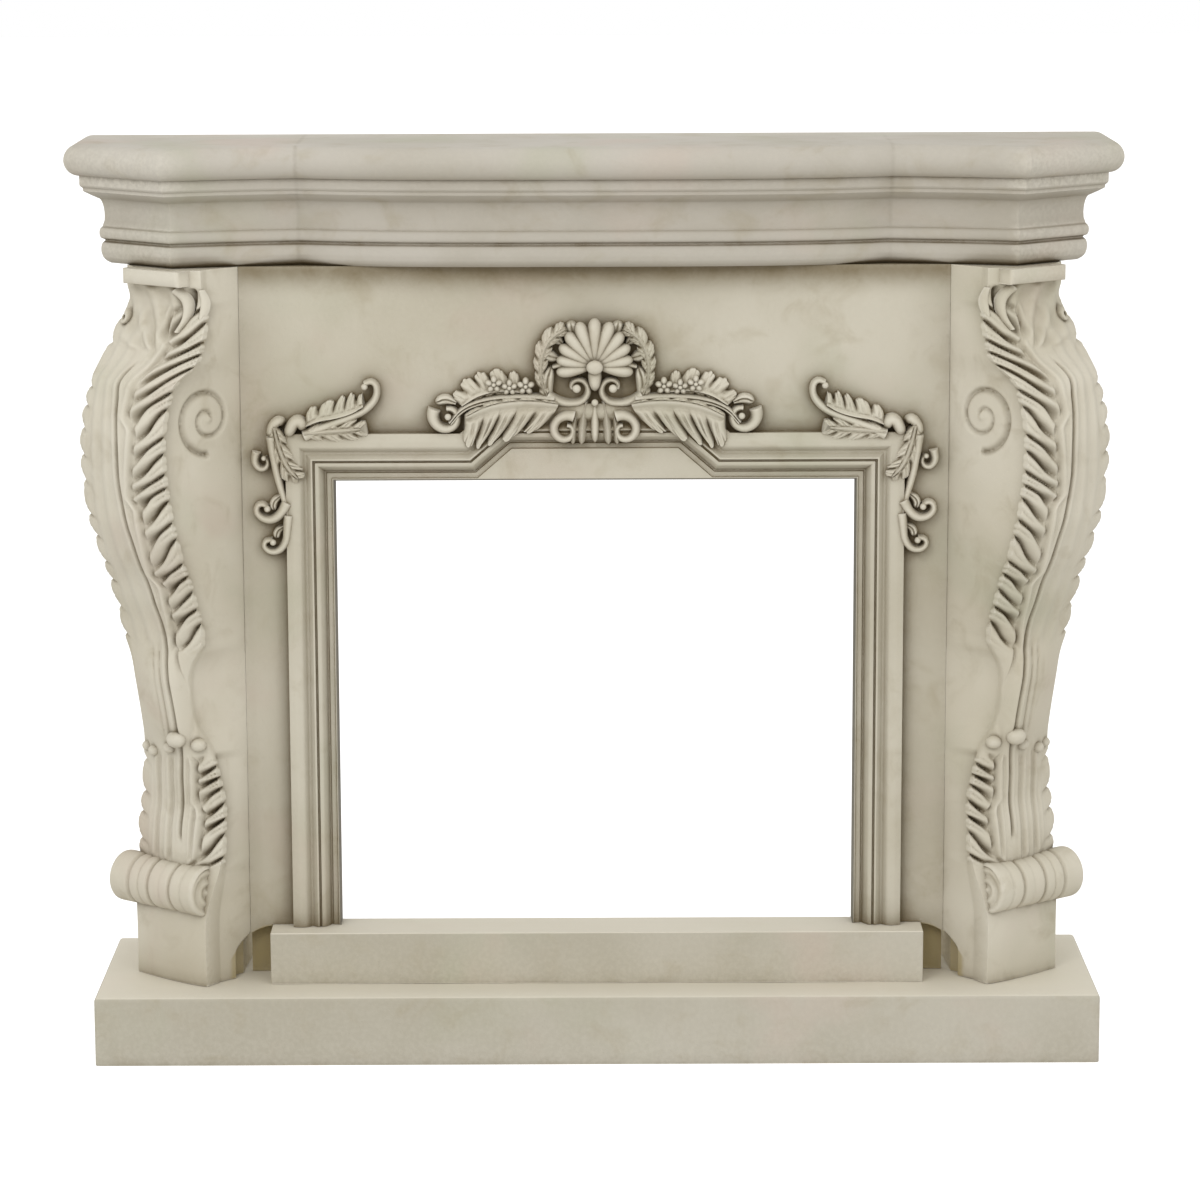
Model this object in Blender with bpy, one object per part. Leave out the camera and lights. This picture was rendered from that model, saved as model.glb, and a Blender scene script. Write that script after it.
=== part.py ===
"""Cast fireplace mantel: a bowed shelf on two canted console legs, a surround panel, a riser and a plinth.

Metres, +Z up, the front towards -Y, and the origin in the middle of the plinth's underside.
"""
import math

import bmesh
import bpy
from mathutils import Vector

# Fits shared by all pieces
GAP = 0.0003

# Plinth
PLINTH_DEPTH = 0.340
PLINTH_HEIGHT = 0.104
PLINTH_PAST_LEG = 0.1093
PLINTH_ARRIS = 0.008

# Firebox opening and the riser below it
OPENING_WIDTH = 0.774
OPENING_HEIGHT = 0.6812
RISER_HEIGHT = 0.0790
RISER_FROM_WALL = 0.264
RISER_ARRIS = 0.003

# Surround panel, its front measured from the wall
PANEL_FROM_WALL = 0.2115
PANEL_THICKNESS = 0.0315
PANEL_MARGIN = 0.066
FRIEZE_HEIGHT = 0.3188
RISER_PAST_FRAME = 0.0326

# Frame moulding: distance out from the inner groove line, and height above the panel
FRAME_PROFILE = (
    (0.0000, 0.0085),
    (0.0030, 0.0050),
    (0.0105, 0.0050),
    (0.0195, 0.0145),
    (0.0290, 0.0150),
    (0.0300, 0.0170),
    (0.0370, 0.0170),
    (0.0450, 0.0120),
    (0.0550, 0.0150),
    (0.0610, 0.0200),
    (0.0687, 0.0190),
    (0.0687, 0.0000),
)
INNER_FILLET = 0.003
RAMP_START = 0.174
RAMP_RISE = 0.0355
RAMP_ANGLE = math.radians(38)

# Legs: a free form, drawn in shares of the leg's own height
LEG_CANT = math.radians(38)
LEG_PAST_PANEL = 0.116
LEG_FROM_WALL = 0.2317
PIER_PAST_LEG = 0.014
# Height up the leg, and how far the face stands forward of the foot
LEG_FACE = (
    (0.094, 0.000),
    (0.197, -0.022),
    (0.255, -0.031),
    (0.310, -0.028),
    (0.398, -0.013),
    (0.484, 0.000),
    (0.542, 0.0195),
    (0.600, 0.0426),
    (0.657, 0.0690),
    (0.714, 0.0790),
    (0.756, 0.0806),
    (0.823, 0.0667),
    (0.852, 0.0560),
    (0.888, 0.0158),
    (0.923, 0.0000),
    (0.956, -0.0120),
    (0.979, -0.0120),
)
# Height up the leg, and half the width of its face
LEG_WIDTH = (
    (0.094, 0.0663),
    (0.197, 0.0740),
    (0.270, 0.0790),
    (0.320, 0.0650),
    (0.370, 0.0470),
    (0.450, 0.0470),
    (0.510, 0.0600),
    (0.570, 0.0741),
    (0.700, 0.0780),
    (0.800, 0.0780),
    (0.860, 0.0640),
    (0.920, 0.0490),
    (0.979, 0.0450),
)
# Height up the leg, and how far the leaf's midrib stands off the middle of the face
LEG_MIDRIB = (
    (0.250, 0.000),
    (0.440, -0.023),
    (0.560, -0.021),
    (0.670, -0.010),
    (0.780, 0.007),
    (0.880, 0.011),
    (0.979, 0.000),
)
LEG_COLUMNS = (-1.0, -0.80, -0.55, -0.30, -0.12, 0.0, 0.12, 0.30, 0.55, 0.80, 1.0)
FOOT_TOP = 0.094
SCROLL_MIDDLE = 0.1353
SCROLL_RADIUS = 0.0362
SCROLL_HALF_LENGTH = 0.1029
SCROLL_FORWARD = 0.005
SCROLL_STEPS = 7
WAIST_ROLL_MIDDLE = 0.350
WAIST_ROLL_RADIUS = 0.0160
WAIST_ROLL_HALF_LENGTH = 0.0640
WAIST_ROLL_STEPS = 4
ROLL_RIB = 0.0035
LOWER_LEAF = (0.180, 0.322)
LOWER_LEAF_LOBES = 4
LONG_LEAF = (0.485, 0.862)
LONG_LEAF_LOBES = 10
LOBE_RISE = 0.60
LOBE_DEPTH = 0.0055
LOBE_SCALLOP = 0.0030
FLUTE_DEPTH = 0.0024
FACE_BULGE = 0.022
EDGE_THICKNESS = 0.026
FLANK_INSET = 0.003
LEAF_OVERHANG = 0.006
STEM_HEIGHTS = (0.385, 0.420, 0.455)
HANGING_LEAF = (0.872, 0.975)
CAP_BOTTOM = 0.979
CAP_FORWARD = 0.0213
CAP_HALF_WIDTH = 0.0475
CAP_OVERHANG = 0.004

# Shelf: outline of the nose, in places measured from the legs, the panel and the wall
SHELF_PAST_LEG = 0.1404
SHELF_SIDE = 0.1815
SHELF_CANT_LENGTH = 0.1614
SHELF_CANT_DEPTH = 0.125
SHELF_SEAM_IN_FROM_LEG = 0.2050
SHELF_SEAM_FROM_WALL = 0.2545
SHELF_HOLLOW = 0.006
SHELF_BOW = 0.0435
SHELF_BOW_FLATNESS = 3.4
SHELF_BOW_STEPS = 8
# Section of the shelf below its nose: inward from the nose, and down from the top
NOSE_RADIUS = 0.0245
NOSE_STEPS = 6
CORNICE_PROFILE = (
    (0.0230, 0.0490),
    (0.0230, 0.0710),
    (0.0300, 0.0730),
    (0.0300, 0.0790),
    (0.0365, 0.0815),
    (0.0500, 0.0940),
    (0.0556, 0.1120),
    (0.0520, 0.1215),
    (0.0475, 0.1260),
    (0.0455, 0.1370),
    (0.0475, 0.1490),
    (0.0505, 0.1530),
    (0.0505, 0.1600),
    (0.0490, 0.1670),
    (0.0560, 0.1780),
)

# Relief on the panel
CREST_ABOVE_OPENING = 0.1685
CREST_HEIGHT = 0.036
SPRAY_HEIGHT = 0.034
RELIEF_ROOT = 0.004

# Places that follow from the sizes above
WALL_Y = PLINTH_DEPTH / 2
PLINTH_TOP = PLINTH_HEIGHT
SILL = PLINTH_TOP + RISER_HEIGHT
OPENING_TOP = SILL + OPENING_HEIGHT
GROOVE_X = OPENING_WIDTH / 2 + INNER_FILLET
GROOVE_TOP = OPENING_TOP + INNER_FILLET
FRAME_WIDTH = FRAME_PROFILE[-1][0]
FRAME_X = GROOVE_X + FRAME_WIDTH
PANEL_X = FRAME_X + PANEL_MARGIN
PANEL_Y = WALL_Y - PANEL_FROM_WALL
RISER_X = FRAME_X + RISER_PAST_FRAME
LEG_X = PANEL_X + LEG_PAST_PANEL
LEG_Y = WALL_Y - LEG_FROM_WALL
LEG_TOP = OPENING_TOP + FRIEZE_HEIGHT
LEG_HEIGHT = LEG_TOP - PLINTH_TOP
SHELF_SEAM_X = LEG_X - SHELF_SEAM_IN_FROM_LEG
SHELF_TOP = LEG_TOP + CORNICE_PROFILE[-1][1]


def clear_scene():
    for obj in list(bpy.data.objects):
        bpy.data.objects.remove(obj, do_unlink=True)


def stone(name, colour, roughness):
    """Cast stone of one even colour."""
    material = bpy.data.materials.new(name)
    material.use_nodes = True
    shader = material.node_tree.nodes["Principled BSDF"]
    shader.inputs["Base Color"].default_value = (*colour, 1.0)
    shader.inputs["Roughness"].default_value = roughness
    shader.inputs["Metallic"].default_value = 0.0
    return material


def add_object(name, mesh_builder, material):
    """Close up a bmesh into a named object with its faces pointing out."""
    bmesh.ops.recalc_face_normals(mesh_builder, faces=mesh_builder.faces)
    mesh = bpy.data.meshes.new(name)
    mesh_builder.to_mesh(mesh)
    mesh_builder.free()
    mesh.materials.append(material)
    obj = bpy.data.objects.new(name, mesh)
    bpy.context.scene.collection.objects.link(obj)
    return obj


def along(knots, at):
    """Value at a height on the smooth curve through the knots, level beyond its ends."""
    if at <= knots[0][0]:
        return knots[0][1]
    if at >= knots[-1][0]:
        return knots[-1][1]
    index = 0
    while knots[index + 1][0] < at:
        index += 1
    (x0, y0), (x1, y1) = knots[index], knots[index + 1]
    before = knots[max(index - 1, 0)]
    after = knots[min(index + 2, len(knots) - 1)]
    slope0 = (y1 - before[1]) / (x1 - before[0])
    slope1 = (after[1] - y0) / (after[0] - x0)
    span = x1 - x0
    share = (at - x0) / span
    square, cube = share ** 2, share ** 3
    return (
        (2 * cube - 3 * square + 1) * y0
        + (cube - 2 * square + share) * span * slope0
        + (3 * square - 2 * cube) * y1
        + (cube - square) * span * slope1
    )


def loft(mesh_builder, rings):
    """Skin a stack of closed rings of equal length and cap both ends."""
    rows = [[mesh_builder.verts.new(point) for point in ring] for ring in rings]
    count = len(rows[0])
    for lower, upper in zip(rows, rows[1:]):
        for i in range(count):
            j = (i + 1) % count
            mesh_builder.faces.new((lower[i], lower[j], upper[j], upper[i]))
    mesh_builder.faces.new(rows[0])
    mesh_builder.faces.new(rows[-1])


def offset_line(points, distance):
    """Shift an open line in its plane to the left of its direction, with mitred corners."""
    directions = [(b - a).normalized() for a, b in zip(points, points[1:])]
    normals = [Vector((-d.y, d.x)) for d in directions]
    shifted = [points[0] + normals[0] * distance]
    for here, before, after in zip(points[1:-1], normals, normals[1:]):
        mitre = (before + after).normalized()
        shifted.append(here + mitre * (distance / mitre.dot(before)))
    shifted.append(points[-1] + normals[-1] * distance)
    return shifted


def block(half_width, front, back, bottom, top):
    """A plain box between two depths and two heights, centred on the mantel."""
    mesh_builder = bmesh.new()
    corners = [(-half_width, front), (half_width, front), (half_width, back), (-half_width, back)]
    loft(mesh_builder, [[(x, y, z) for x, y in corners] for z in (bottom, top)])
    return mesh_builder


def round_edges(mesh_builder, chosen, radius, segments):
    bmesh.ops.bevel(
        mesh_builder, geom=[e for e in mesh_builder.edges if chosen(e)],
        offset=radius, segments=segments, profile=0.5, affect='EDGES',
    )


def make_plinth(material):
    half_width = LEG_X + PLINTH_PAST_LEG
    builder = block(half_width, WALL_Y - PLINTH_DEPTH, WALL_Y, 0.0, PLINTH_TOP)

    def upper_visible(edge):
        at_top = all(abs(v.co.z - PLINTH_TOP) < GAP for v in edge.verts)
        at_wall = all(abs(v.co.y - WALL_Y) < GAP for v in edge.verts)
        return at_top and not at_wall

    round_edges(builder, upper_visible, PLINTH_ARRIS, 3)
    return add_object("base_plinth", builder, material)


def make_riser(material):
    front = WALL_Y - RISER_FROM_WALL
    back = PANEL_Y + PANEL_THICKNESS
    builder = block(RISER_X, front, back, PLINTH_TOP + GAP, SILL)

    def front_arris(edge):
        at_front = all(abs(v.co.y - front) < GAP for v in edge.verts)
        low = any(v.co.z < SILL - GAP for v in edge.verts)
        return at_front and not low

    round_edges(builder, front_arris, RISER_ARRIS, 1)
    return add_object("hearth_riser", builder, material)


def leg_world(side, across, forward, height):
    """A point of a leg: across its canted face, forward of its foot, and up from the plinth."""
    x = -LEG_X - across * math.cos(LEG_CANT) - forward * math.sin(LEG_CANT)
    y = LEG_Y + across * math.sin(LEG_CANT) - forward * math.cos(LEG_CANT)
    return Vector((-side * x, y, PLINTH_TOP + GAP + height))


def leg_row(height, forward=None, half_width=None, crest=0.0, rise=0.0, ribs=FLUTE_DEPTH, overhang=0.0):
    """One level of the leg, in shares of its height."""
    return {
        "height": height,
        "forward": along(LEG_FACE, height) if forward is None else forward,
        "half_width": along(LEG_WIDTH, height) if half_width is None else half_width,
        "crest": crest,
        "rise": rise,
        "ribs": ribs,
        "overhang": overhang,
    }


def roll_rows(middle, radius, half_length, push, steps):
    """The levels round the front half of a horizontal roll."""
    rows = []
    centre = along(LEG_FACE, middle) + push
    for i in range(steps):
        angle = math.radians(-78 + 156 * i / (steps - 1))
        rows.append(leg_row(
            middle + radius * math.sin(angle),
            forward=centre + radius * math.cos(angle),
            half_width=half_length - radius * 0.25 * (1 - math.cos(angle)),
            ribs=ROLL_RIB,
            overhang=max(half_length - along(LEG_WIDTH, middle), 0.0),
        ))
    return rows


def leaf_rows(leaf, lobes, rise):
    """The levels of a leaf: lobe crests and the valleys between them, rising to the edges."""
    rows = []
    count = 2 * lobes + 1
    for i in range(count):
        share = i / (count - 1)
        ramp = min(1.0, share / 0.35, (1 - share) / 0.35)
        crest = (1.0 if i % 2 else -1.0) * min(1.0, 6 * share, 6 * (1 - share))
        height = leaf[0] + (leaf[1] - leaf[0]) * share
        rows.append(leg_row(height, crest=crest, rise=rise * ramp, overhang=LEAF_OVERHANG))
    return rows


def leg_levels():
    rows = [leg_row(0.0, ribs=0.0), leg_row(FOOT_TOP, ribs=0.0)]
    rows += roll_rows(SCROLL_MIDDLE, SCROLL_RADIUS, SCROLL_HALF_LENGTH, SCROLL_FORWARD, SCROLL_STEPS)
    rows += leaf_rows(LOWER_LEAF, LOWER_LEAF_LOBES, LOBE_RISE * 0.5)
    rows += roll_rows(WAIST_ROLL_MIDDLE, WAIST_ROLL_RADIUS, WAIST_ROLL_HALF_LENGTH, 0.0, WAIST_ROLL_STEPS)
    rows += [leg_row(height) for height in STEM_HEIGHTS]
    rows += leaf_rows(LONG_LEAF, LONG_LEAF_LOBES, LOBE_RISE)
    start, end = HANGING_LEAF
    rows += [leg_row(start + (end - start) * i / 3) for i in range(4)]
    rows.append(leg_row(CAP_BOTTOM - GAP))
    rows.append(leg_row(CAP_BOTTOM, CAP_FORWARD, CAP_HALF_WIDTH, ribs=0.0, overhang=CAP_OVERHANG))
    rows.append(leg_row(1.0, CAP_FORWARD, CAP_HALF_WIDTH, ribs=0.0, overhang=CAP_OVERHANG))
    return rows


def leg_ring(side, row):
    """The closed outline of a leg at one level: carved face, cheeks, pier and plain flank."""
    size = LEG_HEIGHT - 2 * GAP
    half, forward = row["half_width"], row["forward"]
    midrib = along(LEG_MIDRIB, row["height"])
    ring = []
    for index, column in enumerate(LEG_COLUMNS):
        reach = half + midrib if column < 0 else half - midrib
        scallop = LOBE_SCALLOP * row["crest"] * abs(column) ** 3
        across = midrib + column * (reach + scallop)
        bulge = -FACE_BULGE * abs(column) ** 2.2
        rib = row["ribs"] * (1 if index % 2 else -1)
        lobes = row["crest"] * LOBE_DEPTH * math.sin(math.pi * min(abs(column) * 1.1, 1.0))
        if column >= 0:
            lobes *= 0.15
        lift = row["rise"] * abs(column) * reach * (1.0 if column < 0 else 0.4)
        ring.append(leg_world(side, across * size, (forward + bulge + rib + lobes) * size,
                              (row["height"] + lift) * size))
    inner_lift = row["rise"] * (half + midrib)
    outer_lift = row["rise"] * (half - midrib) * 0.4
    back = forward - EDGE_THICKNESS
    root = back - 2 * FLANK_INSET
    flank = half - row["overhang"] - FLANK_INSET
    edge = half - FLANK_INSET / 3
    outer_height = (row["height"] + outer_lift) * size
    inner_height = (row["height"] + inner_lift) * size
    outer = leg_world(side, flank * size, root * size, outer_height)
    ring.append(leg_world(side, edge * size, back * size, outer_height))
    ring.append(outer)
    level = PLINTH_TOP + GAP + row["height"] * size
    pier_x = side * (LEG_X + PIER_PAST_LEG)
    run = max(abs(outer.x) - abs(pier_x), 0.0)
    pier_y = min(outer.y + run / math.tan(LEG_CANT) + 0.004, WALL_Y - 0.02)
    inner_x = side * (PANEL_X + GAP)
    ring.append(Vector((pier_x, pier_y, level)))
    ring.append(Vector((pier_x, WALL_Y, level)))
    ring.append(Vector((inner_x, WALL_Y, level)))
    ring.append(Vector((inner_x, PANEL_Y - GAP, level)))
    ring.append(leg_world(side, -flank * size, root * size, inner_height))
    ring.append(leg_world(side, -edge * size, back * size, inner_height))
    return ring


def make_leg(name, side, material):
    builder = bmesh.new()
    loft(builder, [leg_ring(side, row) for row in leg_levels()])
    return add_object(name, builder, material)


def frame_line(distance):
    """The frame's line at a distance out from its inner groove, from foot to foot."""
    ramp_end = RAMP_START - RAMP_RISE / math.tan(RAMP_ANGLE)
    left = [(-GROOVE_X, SILL), (-GROOVE_X, GROOVE_TOP), (-RAMP_START, GROOVE_TOP),
            (-ramp_end, GROOVE_TOP + RAMP_RISE)]
    right = [(-x, z) for x, z in reversed(left)]
    line = offset_line([Vector(point) for point in left + right], distance)
    return line


def panel_builder():
    """The surround without its relief: an upside-down U with the frame moulding round it."""
    builder = bmesh.new()
    sill = SILL + GAP
    foot = PLINTH_TOP + GAP
    top = LEG_TOP - GAP
    notch = RISER_X + GAP
    half_opening = OPENING_WIDTH / 2
    back_y = PANEL_Y + PANEL_THICKNESS

    def vert(x, z, height):
        return builder.verts.new((x, PANEL_Y - height, z))

    lines = []
    for distance, height in FRAME_PROFILE:
        line = [vert(p.x, max(p.y, sill), height) for p in frame_line(distance)]
        line[0].co.z = sill
        line[-1].co.z = sill
        lines.append(line)
    for inner, outer in zip(lines, lines[1:]):
        for i in range(len(inner) - 1):
            builder.faces.new((inner[i], inner[i + 1], outer[i + 1], outer[i]))

    reveal = [(-half_opening, sill), (-half_opening, OPENING_TOP), (half_opening, OPENING_TOP),
              (half_opening, sill)]
    front_edge = [vert(x, z, FRAME_PROFILE[0][1]) for x, z in reveal]
    back_edge = [builder.verts.new((x, back_y, z)) for x, z in reveal]
    builder.faces.new(lines[0] + front_edge[::-1])
    for i in range(3):
        builder.faces.new((front_edge[i], front_edge[i + 1], back_edge[i + 1], back_edge[i]))

    rim = [(-notch, sill), (-notch, foot), (-PANEL_X, foot), (-PANEL_X, top),
           (PANEL_X, top), (PANEL_X, foot), (notch, foot), (notch, sill)]
    front_rim = [vert(x, z, 0.0) for x, z in rim]
    back_rim = [builder.verts.new((x, back_y, z)) for x, z in rim]
    builder.faces.new(front_rim + lines[-1][::-1])
    builder.faces.new(back_rim + back_edge[::-1])
    for i in range(len(rim) - 1):
        builder.faces.new((front_rim[i], front_rim[i + 1], back_rim[i + 1], back_rim[i]))
    for end in (0, -1):
        section = [line[end] for line in lines]
        builder.faces.new([back_edge[end], front_edge[end]] + section + [front_rim[end], back_rim[end]])
    return builder


RIDGE_SECTION = ((-1.0, -0.2), (0.0, 1.0), (1.0, -0.2))
ROLL_SECTION = ((-1.0, -0.2), (-0.6, 0.8), (0.6, 0.8), (1.0, -0.2))


def sweep(builder, path, width, height, section, mirror):
    """A tapering relief stroke along a path on the panel, rooted a little way into it."""
    rows = []
    last = len(path) - 1
    for i, point in enumerate(path):
        ahead = path[min(i + 1, last)] - path[max(i - 1, 0)]
        normal = Vector((-ahead.y, ahead.x)).normalized()
        share = i / last
        swell = 0.55 + 0.45 * math.sin(math.pi * min(share + 0.35, 1.0))
        half = width * swell * (1.0 - 0.35 * share ** 2)
        rise = height * (1.0 - 0.30 * share ** 2)
        row = []
        for across, up in section:
            place = point + normal * across * half
            level = up * rise if up > 0 else -RELIEF_ROOT
            row.append(builder.verts.new((mirror * place.x, PANEL_Y - level, place.y)))
        rows.append(row)
    count = len(section)
    for a, b in zip(rows, rows[1:]):
        for i in range(count):
            j = (i + 1) % count
            builder.faces.new((a[i], a[j], b[j], b[i]))
    builder.faces.new(rows[0])
    builder.faces.new(rows[-1])


def bend(start, angle, length, turn, steps):
    """Points of a line that sets out at an angle and turns evenly along its length."""
    points = [Vector(start)]
    for i in range(steps):
        heading = math.radians(angle + turn * (i + 0.5) / steps)
        points.append(points[-1] + Vector((math.cos(heading), math.sin(heading))) * (length / steps))
    return points


def spiral(centre, radius, start, turns, steps):
    """Points of a spiral that winds in to a third of its radius; negative turns wind clockwise."""
    points = []
    for i in range(steps + 1):
        share = i / steps
        angle = math.radians(start) + 2 * math.pi * turns * share
        reach = radius * (1 - 0.7 * share)
        points.append(Vector(centre) + Vector((math.cos(angle), math.sin(angle))) * reach)
    return points


def stud(builder, centre, radius, height, mirror, sides=6):
    """A low round boss, bead or petal."""
    rings = [(1.0, -RELIEF_ROOT), (0.85, height * 0.6), (0.4, height)]
    rows = []
    for share, level in rings:
        row = []
        for i in range(sides):
            angle = 2 * math.pi * i / sides
            x = centre[0] + radius * share * math.cos(angle)
            z = centre[1] + radius * share * math.sin(angle)
            row.append((mirror * x, PANEL_Y - level, z))
        rows.append(row)
    loft(builder, rows)


def crest_relief(builder):
    """The shell in its ring of scrolls, with leaves, blossoms and end curls on both sides."""
    middle = OPENING_TOP + CREST_ABOVE_OPENING
    for i in range(9):
        angle = 90 + (i - 4) * 21
        rib = bend((0.0, middle), angle, 0.074, 0, 2)
        sweep(builder, rib[::-1], 0.0135, CREST_HEIGHT * 0.7, RIDGE_SECTION, 1)
    stud(builder, (0.0, middle - 0.006), 0.020, CREST_HEIGHT * 0.8, 1)
    sweep(builder, bend((0.0, middle - 0.055), -90, 0.058, 0, 2), 0.010, CREST_HEIGHT, ROLL_SECTION, 1)
    for mirror in (-1, 1):
        ring = bend((0.024, middle - 0.034), -60, 0.05, 75, 2)
        ring += bend(ring[-1], 35, 0.17, 135, 5)[1:]
        sweep(builder, ring, 0.014, CREST_HEIGHT * 0.8, ROLL_SECTION, mirror)
        stud(builder, (0.0236, middle - 0.030), 0.009, CREST_HEIGHT * 0.9, mirror)
        sweep(builder, spiral((0.0435, middle - 0.087), 0.019, 150, -1.1, 7),
              0.0110, CREST_HEIGHT, ROLL_SECTION, mirror)
        sweep(builder, bend((0.016, middle - 0.050), -80, 0.055, 30, 2),
              0.010, CREST_HEIGHT * 0.9, RIDGE_SECTION, mirror)
        stem = bend((0.055, middle - 0.038), -12, 0.15, -20, 3)
        sweep(builder, stem, 0.018, CREST_HEIGHT * 0.8, RIDGE_SECTION, mirror)
        for i in range(8):
            start = stem[0].lerp(stem[-1], i / 8.5)
            lobe = bend(start, -58 + 4 * i, 0.064 - 0.004 * i, 22, 2)
            sweep(builder, lobe, 0.0135, CREST_HEIGHT * (1.0 - 0.03 * i), RIDGE_SECTION, mirror)
        for i in range(5):
            start = stem[0].lerp(stem[-1], 0.30 + i / 7)
            sweep(builder, bend(start, 40 - 6 * i, 0.036, -30, 2),
                  0.0095, CREST_HEIGHT * 0.7, RIDGE_SECTION, mirror)
        sweep(builder, spiral((0.218, middle - 0.073), 0.022, 215, 1.2, 7),
              0.0105, CREST_HEIGHT * 0.8, ROLL_SECTION, mirror)
        for i in range(3):
            bloom = (0.104 + 0.031 * i, middle - 0.012 - 0.010 * i)
            for k in range(4):
                angle = math.radians(45 + 90 * k)
                petal = (bloom[0] + 0.0095 * math.cos(angle), bloom[1] + 0.0095 * math.sin(angle))
                stud(builder, petal, 0.0105, CREST_HEIGHT * 0.5, mirror, sides=4)
            stud(builder, bloom, 0.006, CREST_HEIGHT * 0.65, mirror, sides=4)


def corner_relief(builder, mirror):
    """A spray along the frame's top and a fall of curls down its side, from one corner."""
    corner = Vector((FRAME_X, GROOVE_TOP + FRAME_WIDTH))
    spray = bend(corner + Vector((-0.006, 0.000)), 176, 0.118, -30, 4)
    sweep(builder, spray, 0.014, SPRAY_HEIGHT, RIDGE_SECTION, mirror)
    for i in range(4):
        start = spray[0].lerp(spray[-1], 0.30 + i / 5)
        sweep(builder, bend(start, 78 + 6 * i, 0.030, 34, 2),
              0.0105, SPRAY_HEIGHT * 0.75, RIDGE_SECTION, mirror)
    for i in range(3):
        start = spray[1].lerp(spray[-1], i / 4)
        sweep(builder, bend(start, 196 - 10 * i, 0.058, -18, 2),
              0.0110, SPRAY_HEIGHT * 0.85, RIDGE_SECTION, mirror)
    sweep(builder, spiral(corner + Vector((-0.134, 0.072)), 0.016, 250, 0.9, 6),
          0.0090, SPRAY_HEIGHT * 0.7, ROLL_SECTION, mirror)
    for i in range(3):
        sweep(builder, bend(corner + Vector((0.004, 0.014)), 282 - 26 * i, 0.084 - 0.010 * i, -14, 2),
              0.0120, SPRAY_HEIGHT, RIDGE_SECTION, mirror)
    fall = bend(corner + Vector((0.016, 0.010)), 266, 0.190, 6, 4)
    sweep(builder, fall, 0.0100, SPRAY_HEIGHT * 0.7, RIDGE_SECTION, mirror)
    for drop, radius, reach in ((0.040, 0.0120, 0.036), (0.118, 0.0155, 0.029), (0.174, 0.0145, 0.018)):
        sweep(builder, spiral(corner + Vector((reach, -drop)), radius, 190, 1.0, 6),
              0.0085, SPRAY_HEIGHT * 0.65, ROLL_SECTION, mirror)


def make_panel(material):
    panel = add_object("surround_panel", panel_builder(), material)
    builder = bmesh.new()
    crest_relief(builder)
    for mirror in (-1, 1):
        corner_relief(builder, mirror)
    relief = add_object("relief_strokes", builder, material)
    relief.hide_render = True
    relief.display_type = 'WIRE'
    join = panel.modifiers.new("relief", 'BOOLEAN')
    join.operation = 'UNION'
    join.solver = 'EXACT'
    join.use_self = True
    join.object = relief
    return panel


def shelf_nose():
    """The outline of the shelf's nose, from the wall round the front to the wall."""
    end = LEG_X + SHELF_PAST_LEG
    cant_y = WALL_Y - SHELF_SIDE
    corner_y = cant_y - SHELF_CANT_DEPTH
    seam_y = WALL_Y - SHELF_SEAM_FROM_WALL
    corner_x = end - SHELF_CANT_LENGTH
    half = [Vector((-end, WALL_Y)), Vector((-end, cant_y)), Vector((-corner_x, corner_y))]
    for i in range(1, 3):
        share = i / 3
        hollow = SHELF_HOLLOW * math.sin(math.pi * share)
        half.append(Vector((-corner_x + (corner_x - SHELF_SEAM_X) * share,
                            corner_y + (seam_y - corner_y) * share + hollow)))
    for i in range(SHELF_BOW_STEPS + 1):
        share = 1 - i / SHELF_BOW_STEPS
        bow = SHELF_BOW * (1 - share ** SHELF_BOW_FLATNESS)
        half.append(Vector((-SHELF_SEAM_X * share, seam_y - bow)))
    return half + [Vector((-p.x, p.y)) for p in reversed(half[:-1])]


def shelf_section():
    """Levels of the shelf: how far each lies inside the nose, and how far below the top."""
    section = []
    for i in range(NOSE_STEPS + 1):
        angle = math.pi * i / NOSE_STEPS
        section.append((NOSE_RADIUS * (1 - math.sin(angle)), NOSE_RADIUS * (1 - math.cos(angle))))
    section[-1] = (section[-1][0], CORNICE_PROFILE[0][1] - GAP)
    return section + list(CORNICE_PROFILE)


def make_shelf(material):
    builder = bmesh.new()
    nose = shelf_nose()
    rings = []
    for inward, below in reversed(shelf_section()):
        ring = [(p.x, p.y, SHELF_TOP - below) for p in offset_line(nose, inward)]
        rings.append(ring)
    loft(builder, rings)
    return add_object("mantel_shelf", builder, material)


def main():
    clear_scene()
    cream = stone("aged_cream_stone", (0.56, 0.50, 0.38), 0.75)
    pale = stone("shelf_stone", (0.62, 0.57, 0.45), 0.65)
    make_plinth(cream)
    make_riser(cream)
    make_leg("left_leg", -1, cream)
    make_leg("right_leg", 1, cream)
    make_panel(cream)
    make_shelf(pale)


main()
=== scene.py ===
# %% [markdown]
# # A cast fireplace mantel
# The real object is a mantel cast in cream stone: a bowed shelf on two canted legs carved as
# acanthus consoles, a framed surround round the opening with a shell crest, a low riser and a
# plinth. The solids give its construction. Here every piece is made again with the softness and the
# depth of carving that a cast piece has, and gets a stone finish with brown patina in the hollows.

# %% Frame and sizes of the solids
import math

import bmesh
import bpy
import numpy as np
from mathutils import Matrix, Vector


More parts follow.
